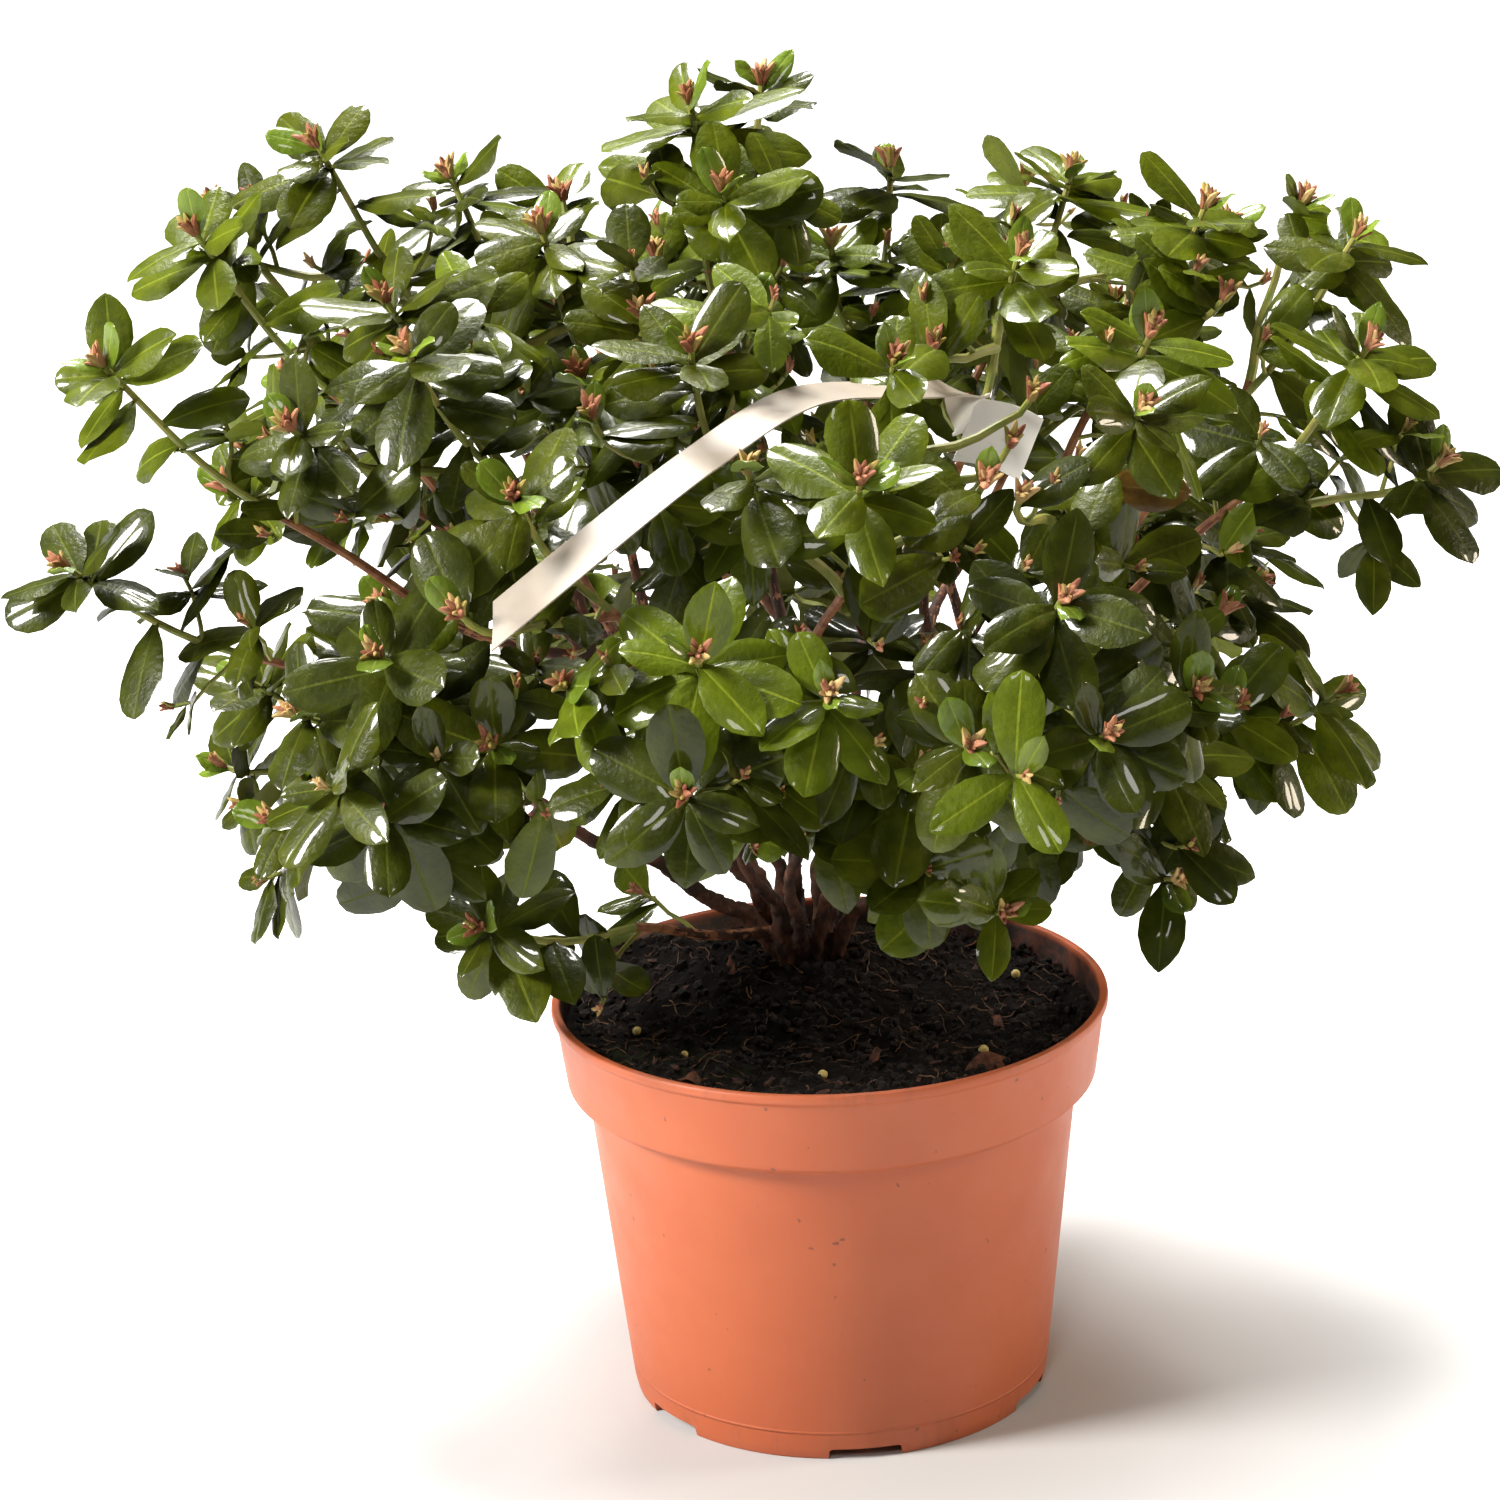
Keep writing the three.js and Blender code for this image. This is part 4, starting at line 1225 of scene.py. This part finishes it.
def leaf_places(limb, random, whorls, spacing, leafy_share):
    """Where one shoot's leaves stand: whorls at its tip, then single leaves down to where it is bare.

    Each is set back along the shoot, at an angle round it, opened from it and drooping. Its kind is young,
    old or dry.
    """
    places = []
    turn = random() * 360

    def add(back, angle, opening, size, droop, kind):
        share = min(1, max(0.02, 1 - back / limb.length))
        axis = unit(limb.tangent(share) + TURN_LIGHT * LIGHT)
        side, above = across_of(axis)
        opened = math.radians(opening)
        turned_to = math.cos(math.radians(angle)) * side + math.sin(math.radians(angle)) * above
        direction = unit(axis * math.cos(opened) + turned_to * math.sin(opened) - droop * UP)
        face = axis + FACE_LIGHT * LIGHT
        face = unit(face - direction * np.dot(face, direction))
        face = turned_about(face, direction, ROLL * (2 * random() - 1))
        pointed = random() < POINTED_CHANCE
        places.append(
            {
                "root": limb.at(share),
                "direction": direction,
                "face": face,
                "size": size,
                "slim": (0.78 if pointed else 0.88) + 0.2 * random(),
                "curl": 0.02 + 0.22 * random(),
                "fold": 0.1 + 0.5 * random(),
                "wave": 0.9 * random(),
                "phase": 2 * math.pi * random(),
                "pointed": pointed,
                "kind": kind,
            }
        )

    for usual, back, opening, size, kind in whorls:
        count = usual + int(2 * random())
        turn += 360 * (0.5 / count + 0.1)
        for i in range(count):
            angle = turn + i * 360 / count + 34 * (random() - 0.5)
            tilt = opening + 30 * (random() - 0.5)
            add(back + 2.4 * random(), angle, tilt, size * (0.74 + 0.42 * random()), 0.08, kind)
    back = whorls[0][1] + spacing * 0.9
    i = 0
    while back < limb.length * leafy_share:
        droop = 0.12 + 0.3 * min(1, back / 50)
        kind = "dry" if random() < DRY_CHANCE else "old"
        smallest = DRY_SIZE if kind == "dry" else SINGLE_SIZE
        add(back, turn + 40 + i * GOLDEN_ANGLE, 66 + 20 * random(), smallest + 0.34 * random(), droop, kind)
        back += spacing * (0.75 + 0.5 * random())
        i += 1
    return places


# Whorls at a tip: leaves, distance back from the tip, opening from the shoot, size, kind
LEADING_WHORLS = ((5, 7.5, 84, 1.08, "old"), (3, 3.4, 62, 0.92, "old"), (1, 1.2, 30, 0.55, "young"))
TWIG_WHORLS = ((4, 5, 78, 0.95, "old"), (2, 2, 50, 0.78, "old"))


def fine_twigs(limb, index, random):
    """Short twigs that leave a shoot down its leafy part and end in whorls of their own."""
    twigs = []
    turn = random() * 360
    back = 0.3 * limb.length
    while back < 0.8 * limb.length:
        share = 1 - back / limb.length
        axis = limb.tangent(share)
        side, above = across_of(axis)
        angle = math.radians(turn)
        outward = side * math.cos(angle) + above * math.sin(angle)
        foot = limb.at(share)
        leaving = unit(axis * 0.65 + outward)
        end = foot + leaving * TWIG_LENGTH * (0.75 + 0.5 * random())
        arriving = unit(growing_direction(end) + 0.5 * leaving)
        twig = Limb(foot, leaving, end, arriving, 0.25 * SWAY, random() * 2 * math.pi)
        if fits(twig.spaced(8)[2:], foot, 1.3 * twig.length, index):
            twigs.append(twig)
        turn += GOLDEN_ANGLE
        back += TWIG_SPACING * (0.8 + 0.4 * random())
    return twigs


class Leaves:
    """The leaves grown so far, so that no leaf runs through another."""

    REACH = 34

    def __init__(self):
        self.grown = []
        self.cells = {}

    def _cells_round(self, point):
        x, y, z = (int(c // self.REACH) for c in point)
        return [(x + i, y + j, z + k) for i in (-1, 0, 1) for j in (-1, 0, 1) for k in (-1, 0, 1)]

    def try_at(self, place, index, tone):
        """Grows the largest leaf that fits, if one does."""
        for size in LEAF_TRIES:
            grown_size = size * place["size"]
            points = leaf_points(place, grown_size)
            if not fits(points, place["root"], 1.15 * LEAF_LENGTH * grown_size, index):
                continue
            blade = BVHTree.FromPolygons([Vector(p) for p in points], TEST_FACES)
            middle = points.mean(0)
            near = [leaf for cell in self._cells_round(middle) for leaf in self.cells.get(cell, ())]
            if any(blade.overlap(other) for other in near):
                continue
            key = tuple(int(c // self.REACH) for c in middle)
            self.cells.setdefault(key, []).append(blade)
            self.grown.append((place, grown_size, tone))
            return


# A shoot or twig: its mass, its limb, its mass's source of chance, and whether it is a leading shoot
Spray = namedtuple("Spray", "index limb random leading")
LEAFY_TWIG_SHARE = 0.7
# Partly painted shade: low sprays are drawn darker, for older leaves and for the shade under the crown.
SHADE_AND_AGE_HEIGHTS = (160, 350)  # between which the foliage turns from dark to fresh


def grow_sprays():
    """All shoots of all masses, and then the fine twigs on them."""
    sprays = []
    for index in range(len(MASSES)):
        random = seeded(SEED * 7 + index * 13)
        for shoot in (stem_limbs[index], *side_limbs[index]):
            sprays.append(Spray(index, shoot, random, True))
    twigs = []
    for index, shoot, random, _ in sprays:
        for twig in fine_twigs(shoot, index, random):
            twigs.append(Spray(index, twig, random, False))
    return sprays + twigs


def make_foliage():
    """Leaves, twigs and buds. A spray has one tone, drawn fresher high up than low down: darker low down
    partly for older leaves and partly as painted shade.
    """
    leaves = Leaves()
    sprays = grow_sprays()
    leader = mass_stem("top_leader")
    for index, shoot, random, leading in sprays:
        # Partly painted shade: the lower a spray's tip, the darker its tone is drawn.
        tone = random() ** (2.2 - 1.6 * smoothstep(shoot.end[2], *SHADE_AND_AGE_HEIGHTS))
        whorls = LEADING_WHORLS if leading else TWIG_WHORLS
        leafy_share = LEAFY_SHARE if leading else LEAFY_TWIG_SHARE
        for place in leaf_places(shoot, random, whorls, LEAF_SPACING, leafy_share):
            if shoot is leader:
                place["size"] *= LEADER_SIZE
            leaves.try_at(place, index, tone)
    make_leaves(leaves)
    make_twigs(sprays)
    make_buds(sprays)


# How far up a spray's drawn tone each green goes
SPRAY_TONES = (("deep_green", 0.34), ("dark_green", 0.66), ("mid_green", 0.9), ("fresh_green", 1.0))
KIND_TONES = {"young": "young_green", "dry": "dry_brown"}
# Colours of foliage: upper skin and under skin, each dark and light, and midrib
TONES = {
    "deep_green": (("262c02", "363d06"), ("444a12", "52581a"), "434a0f"),
    "dark_green": (("303703", "414806"), ("4d5414", "5b631c"), "505810"),
    "mid_green": (("3c4604", "4d5708"), ("5a6318", "687221"), "5e6814"),
    "fresh_green": (("475309", "57650f"), ("6a7422", "78832a"), "6e7a1c"),
    "young_green": (("506316", "627620"), ("748440", "84944c"), "74863a"),
    "dry_brown": (("43300f", "5a4318"), ("524019", "6b5426"), "5e4a22"),
}


def tone_of(place, drawn):
    """A young or dry leaf has its own colours, and any other has those of its spray."""
    return KIND_TONES.get(place["kind"]) or next(name for name, limit in SPRAY_TONES if drawn <= limit)


def make_leaves(leaves):
    """One piece for each tone of foliage."""
    shapes = {True: leaf_model(POINTED), False: leaf_model(ROUNDED)}
    for name, (upper, under, rib) in TONES.items():
        copies = Copies()
        for place, size, drawn in leaves.grown:
            if tone_of(place, drawn) == name:
                shape, faces = shapes[place["pointed"]]
                copies.add(leaf_points(place, size, shape), faces)
        skins = (
            leaf_finish(name + "_upper", *upper, 0.34, 0.38),
            leaf_finish(name + "_midrib", rib, rib, 0.4),
            leaf_finish(name + "_under", *under, 0.55),
        )
        dressed(copies.joined("leaves_" + name, *skins, angle=70), "foliage", *FOLIAGE_NODES)


TIP_RADII = {True: 0.95, False: 0.65}  # of a leading shoot and of a twig
GREEN_LENGTH = 62  # of a leading shoot, down from its tip
BUD_SCALES = {True: 9, False: 4}
TWIG_BUD = 0.7  # size of a twig's bud, as a share of a leading shoot's


def make_twigs(sprays):
    """Stems and twigs: brown where they are woody, and green with a reddish cast near their tips."""
    woody, green = Copies(), Copies()
    for _, shoot, _, leading in sprays:
        base = STEM_RADIUS if leading else TWIG_RADIUS
        tip = TIP_RADII[leading]
        change = max(0.0, 1 - GREEN_LENGTH / shoot.length) if leading else 0.0
        steps = max(4, int(shoot.length / 6))
        for share_from, share_to, target in ((0, change, woody), (change, 1, green)):
            if share_to - share_from < 0.02:
                continue
            count = max(3, int(steps * (share_to - share_from)) + 1)
            shares = np.linspace(share_from, share_to, count)
            target.add(*tube(shoot.at(shares), base + (tip - base) * shares, 8 if leading else 6))
    woody_skin = speckled_finish("woody_stem", "6e3f28", "9c6a45", 4, 0.6, 0.2)
    green_skin = speckled_finish("green_stem", "6f7a34", "8f8a44", 6, 0.5, 0.1)
    dressed(woody.joined("woody_stems", woody_skin), "bark", *FOLIAGE_NODES)
    dressed(green.joined("green_twigs", green_skin), "foliage", *FOLIAGE_NODES)


def bud_scale_model():
    """One narrow bud scale, pointed at both ends, 1 millimetre long."""
    deselect_all()
    bpy.ops.mesh.primitive_uv_sphere_add(segments=6, ring_count=5, radius=0.5 * MM)
    scale = named("bud_scale")
    places = places_of(scale) * (0.36, 0.26, 1) + (0, 0, 0.5)
    share = places[:, 2]
    places[:, 0] *= 1.25 - 0.6 * share
    places[:, 1] += 0.14 * np.sin(np.pi * share) - 0.1 * share
    move_to(scale, places)
    return model_of(scale)


def make_buds(sprays):
    """A cluster of reddish scales at each tip."""
    shape, faces = bud_scale_model()
    russet, tawny = Copies(), Copies()
    for _, shoot, random, leading in sprays:
        axis = shoot.tangent(1)
        side, above = across_of(axis)
        for i in range(BUD_SCALES[leading]):
            angle = math.radians(i * GOLDEN_ANGLE + 20 * random())
            opening = math.radians(4 + 3 * i * (0.5 + 0.6 * random()))
            outward = side * math.cos(angle) + above * math.sin(angle)
            along = axis * math.cos(opening) + outward * math.sin(opening)
            across = unit(np.cross(axis, outward))
            back = np.cross(along, across)
            size = BUD_LENGTH * (1 if leading else TWIG_BUD) * (0.75 + 0.4 * random())
            turn = np.stack((across, back, along), axis=1)
            root = shoot.end + outward * (0.5 + 0.08 * i) - axis * 0.8
            target = tawny if random() < 0.45 else russet
            target.add(root + (shape * size) @ turn.T, faces)
    red = leaf_finish("russet_bud", "7e4c36", "ae7a5c", 0.4)
    pale = leaf_finish("tawny_bud", "8c7c3e", "bc9c6c", 0.4)
    dressed(russet.joined("russet_buds", red), "foliage", *FOLIAGE_NODES)
    dressed(tawny.joined("tawny_buds", pale), "foliage", *FOLIAGE_NODES)


# ---- Label ----
LABEL_STEM = "top_right"
LABEL_PLACE = 0.6
LABEL_WIDTH = 13.5
LABEL_THICKNESS = 0.45
LABEL_HEAD = (20, 23)
LABEL_HEAD_PLACE = (53.6, -17.5, 302.5)
LABEL_LOOP = 3.4
LABEL_SLANT = 0.9
LABEL_STEPS = 90
LABEL_FACING = np.array((-0.25, -0.5, 0.83))
BAND_SIDES = 28
BAND_ROWS = (-4, 0, 4)
LABEL_PATH = [
    (42.3, -30, 318.8),
    (24.5, -48, 323.8),
    (-4.2, -80, 330.3),
    (-32.0, -110, 321.5),
    (-58.8, -138, 308.5),
    (-87.1, -158, 291.3),
]


def through(points, count):
    """A smooth line through given points, with count places spaced evenly along it."""
    points = np.array(points, float)
    before = 2 * points[0] - points[1]
    after = 2 * points[-1] - points[-2]
    padded = np.concatenate(([before], points, [after]))
    line = []
    for a, b, c, d in zip(padded, padded[1:], padded[2:], padded[3:]):
        square = 2 * a - 5 * b + 4 * c - d
        cube = 3 * b - a - 3 * c + d
        for t in np.linspace(0, 1, 24, endpoint=False):
            line.append(0.5 * (2 * b + (c - a) * t + square * t**2 + cube * t**3))
    line.append(points[-1])
    line = np.array(line)
    lengths = np.concatenate(([0], np.cumsum(np.linalg.norm(np.diff(line, axis=0), axis=1))))
    wanted = np.linspace(0, lengths[-1], count)
    return np.stack([np.interp(wanted, lengths, line[:, i]) for i in range(3)], axis=1)


def label_start():
    """The middle of the label's loop, and the turn from upright to its stem's lie."""
    stem = mass_stem(LABEL_STEM)
    axis = stem.tangent(LABEL_PLACE)
    turn = np.array(Vector(UP).rotation_difference(Vector(axis)).to_matrix())
    return stem.at(LABEL_PLACE), turn


def make_label_strip(start, finish):
    """A strip that bows along its middle and is cut at a slant at its far end."""
    path = through([start, *LABEL_PATH], LABEL_STEPS + 1)
    tangents = np.gradient(path, axis=0)
    deselect_all()
    bpy.ops.mesh.primitive_grid_add(x_subdivisions=LABEL_STEPS, y_subdivisions=4, size=2 * MM)
    strip = named("loop_label", finish)
    places = places_of(strip)
    for place in places:
        step = int(round((place[0] + 1) / 2 * LABEL_STEPS))
        across = place[1] * LABEL_WIDTH / 2
        tangent = unit(tangents[step])
        face = unit(LABEL_FACING - tangent * np.dot(LABEL_FACING, tangent))
        side = np.cross(face, tangent)
        slant = LABEL_SLANT * across * smoothstep(step / LABEL_STEPS, 0.93, 1)
        bow = 0.5 * (place[1] ** 2)
        place[:] = path[step] + tangent * slant + side * across + face * bow
    move_to(strip, places)
    return strip


def make_label_head(centre, turn, outer, finish):
    """A broad tab that curls back beside the stem."""
    width, height = LABEL_HEAD
    deselect_all()
    bpy.ops.mesh.primitive_grid_add(x_subdivisions=20, y_subdivisions=20, size=2 * MM)
    head = named("label_head", finish)
    places = places_of(head)
    for place in places:
        x, z = place[0] * width / 2, place[1] * height / 2
        curve = 0.035 * x * x * (1 if x > 0 else 0.4)
        place[:] = centre + turn @ np.array((x + width / 2 - 4, -outer - 0.6 - curve, z))
    move_to(head, places)
    return head


def make_label_band(centre, turn, outer, finish):
    """The band that goes round the stem."""
    angles = np.linspace(0, 2 * np.pi, BAND_SIDES, endpoint=False)
    ring = [
        centre + turn @ np.array((outer * math.cos(a), outer * math.sin(a), z))
        for z in BAND_ROWS
        for a in angles
    ]
    quads = []
    for row in range(len(BAND_ROWS) - 1):
        for i in range(BAND_SIDES):
            here, after = row * BAND_SIDES + i, row * BAND_SIDES + (i + 1) % BAND_SIDES
            quads.append((here, after, after + BAND_SIDES, here + BAND_SIDES))
    band = Copies()
    band.add(np.array(ring), (np.array(quads).ravel(), np.full(len(quads), 4), np.zeros(len(quads), int)))
    return band.joined("label_band", finish)


def make_label():
    """A blank white loop label: a strip with a slanted end, held round a stem by a band beside its head."""
    centre, turn = label_start()
    outer = LABEL_LOOP + 0.7
    finish = label_finish()
    strip = make_label_strip(centre + turn @ np.array((-1, -outer + 0.1, 0)), finish)
    head = make_label_head(centre, turn, outer, finish)
    band = make_label_band(centre, turn, outer, finish)
    label = fused(strip, head, band)
    finished_with(label, "SOLIDIFY", thickness=LABEL_THICKNESS * MM, offset=0)
    smooth(label, 50)
    return dressed(label, "label_plastic", "label")


def keep_clear_of_label():
    """Nothing grows through the strip, its slanted end or the head."""
    centre, turn = label_start()
    foot = centre + turn @ np.array((-1, -LABEL_LOOP - 0.6, 0))
    line = through([foot, *LABEL_PATH], LIMB_SAMPLES + 1)
    end = line[-1] + unit(line[-1] - line[-2]) * LABEL_SLANT * LABEL_WIDTH / 2
    obstacles.add("label", [*line, end], LABEL_WIDTH / 2)
    obstacles.add("label", [centre + (6, -4, 0)], LABEL_HEAD[1] / 2)


# ---- Growing the plant ----
# The order matters: each limb keeps clear of those before it, and the openings only of leaves and twigs.
bough_limbs = [bough_limb(bough, index) for index, bough in enumerate(BOUGHS)]
forks = {"trunk": (FORK, TRUNK_DOME)}
for bough, limb in zip(BOUGHS, bough_limbs):
    forks[bough.name] = (limb.end, KNUCKLE)
    obstacles.add(bough.name, limb.spaced(LIMB_SAMPLES), bough.radius)
chances = [seeded(SEED + 100 + index) for index in range(len(MASSES))]
stem_limbs = [stem_limb(mass, random) for mass, random in zip(MASSES, chances)]
for mass, stem in zip(MASSES, stem_limbs):
    obstacles.add(mass.name, stem.spaced(LIMB_SAMPLES), STEM_RADIUS)
keep_clear_of_label()
side_limbs = [side_shoots(index, stem, chances[index]) for index, stem in enumerate(stem_limbs)]
for start, end, radius in OPENINGS:
    obstacles.add("opening", np.linspace(start, end, 9), radius)

make_pot()
make_root_ball()
make_soil_bits()
make_woody_frame()
make_foliage()
make_label()


# ---- Studio ----
CAMERA_ELEVATION = 18
CAMERA_ROLL = 2.12
CAMERA_LENS = 108
CAMERA_OFFSET = (24.14, -73.33, 1372.3)  # of the pot's rim from the camera: right, up and ahead
FLOOR_SIZE = 40  # metres, as are the lights' places and sizes
# A light: name, place, what it aims at, size, power, colour
LIGHTS = (
    ("key", (-1.85, -0.6, 1.4), (0, 0, 0.25), 0.7, 106, (1, 0.97, 0.93)),
    ("rim", (1.9, 0.1, 0.8), (0, 0, 0.15), 0.5, 24, (1, 0.86, 0.68)),
    ("front", (-0.3, -1.9, 1.8), (0, 0, 0.25), 0.5, 12, (1, 0.97, 0.92)),
    ("crown", (-0.3, 0.8, 1.8), (0, 0, 0.3), 0.8, 92, (1, 0.98, 0.95)),
)
SKY_COLOUR = (1, 0.95, 0.86, 1)
SKY_STRENGTH = 0.04


def make_camera():
    """A long lens, a little above the crown and slightly rolled."""
    tilt, roll = math.radians(CAMERA_ELEVATION), math.radians(CAMERA_ROLL)
    ahead = Vector((0, math.cos(tilt), -math.sin(tilt)))
    level_right = Vector((1, 0, 0))
    level_up = Vector((0, math.sin(tilt), math.cos(tilt)))
    right = math.cos(roll) * level_right - math.sin(roll) * level_up
    up = math.sin(roll) * level_right + math.cos(roll) * level_up
    aside, above, distance = CAMERA_OFFSET
    place = Vector((0, 0, POT_HEIGHT)) - (aside * right + above * up + distance * ahead)
    data = bpy.data.cameras.new("camera")
    data.lens = CAMERA_LENS
    data.sensor_width = 36
    data.clip_start = 0.05
    camera = bpy.data.objects.new("camera", data)
    turn = Matrix((right, up, -ahead)).transposed().to_4x4()
    camera.matrix_world = Matrix.Translation(place * MM) @ turn
    bpy.context.scene.collection.objects.link(camera)
    bpy.context.scene.camera = camera


def add_light(name, place, aim, size, power, colour):
    data = bpy.data.lights.new(name, "AREA")
    data.shape = "DISK"
    data.size = size
    data.energy = power
    data.color = colour
    light = bpy.data.objects.new(name, data)
    light.location = place
    light.rotation_euler = (Vector(aim) - Vector(place)).to_track_quat("-Z", "Y").to_euler()
    bpy.context.scene.collection.objects.link(light)


def floor_finish():
    """Pale paper, with a glow that washes out all but the plant's own shadow."""
    finish = Finish("studio_paper")
    off = finish.distance()
    behind = finish.along("Y").between(0.05, 1.1)
    near = off.between(0.07, 0.24) * (1 - off.between(0.5, 1.1)) * 0.7
    around = off.between(0.4, 1.5) * 0.6
    share = 1 - (1 - near) * (1 - around) * (1 - behind)
    glow = finish.blend(share, (0, 0, 0, 1), (0.85, 0.85, 0.85, 1))
    return finish.set(
        Base_Color=(0.5, 0.5, 0.5, 1), Roughness=0.9, Emission_Color=glow, Emission_Strength=1
    )


def make_studio():
    deselect_all()
    bpy.ops.mesh.primitive_plane_add(size=FLOOR_SIZE)
    named("studio_floor", floor_finish())
    for light in LIGHTS:
        add_light(*light)
    world = bpy.data.worlds.new("studio")
    world.use_nodes = True
    sky = world.node_tree.nodes["Background"].inputs
    sky["Color"].default_value = SKY_COLOUR
    sky["Strength"].default_value = SKY_STRENGTH
    bpy.context.scene.world = world
    bpy.context.scene.view_settings.view_transform = "Standard"


make_camera()
make_studio()
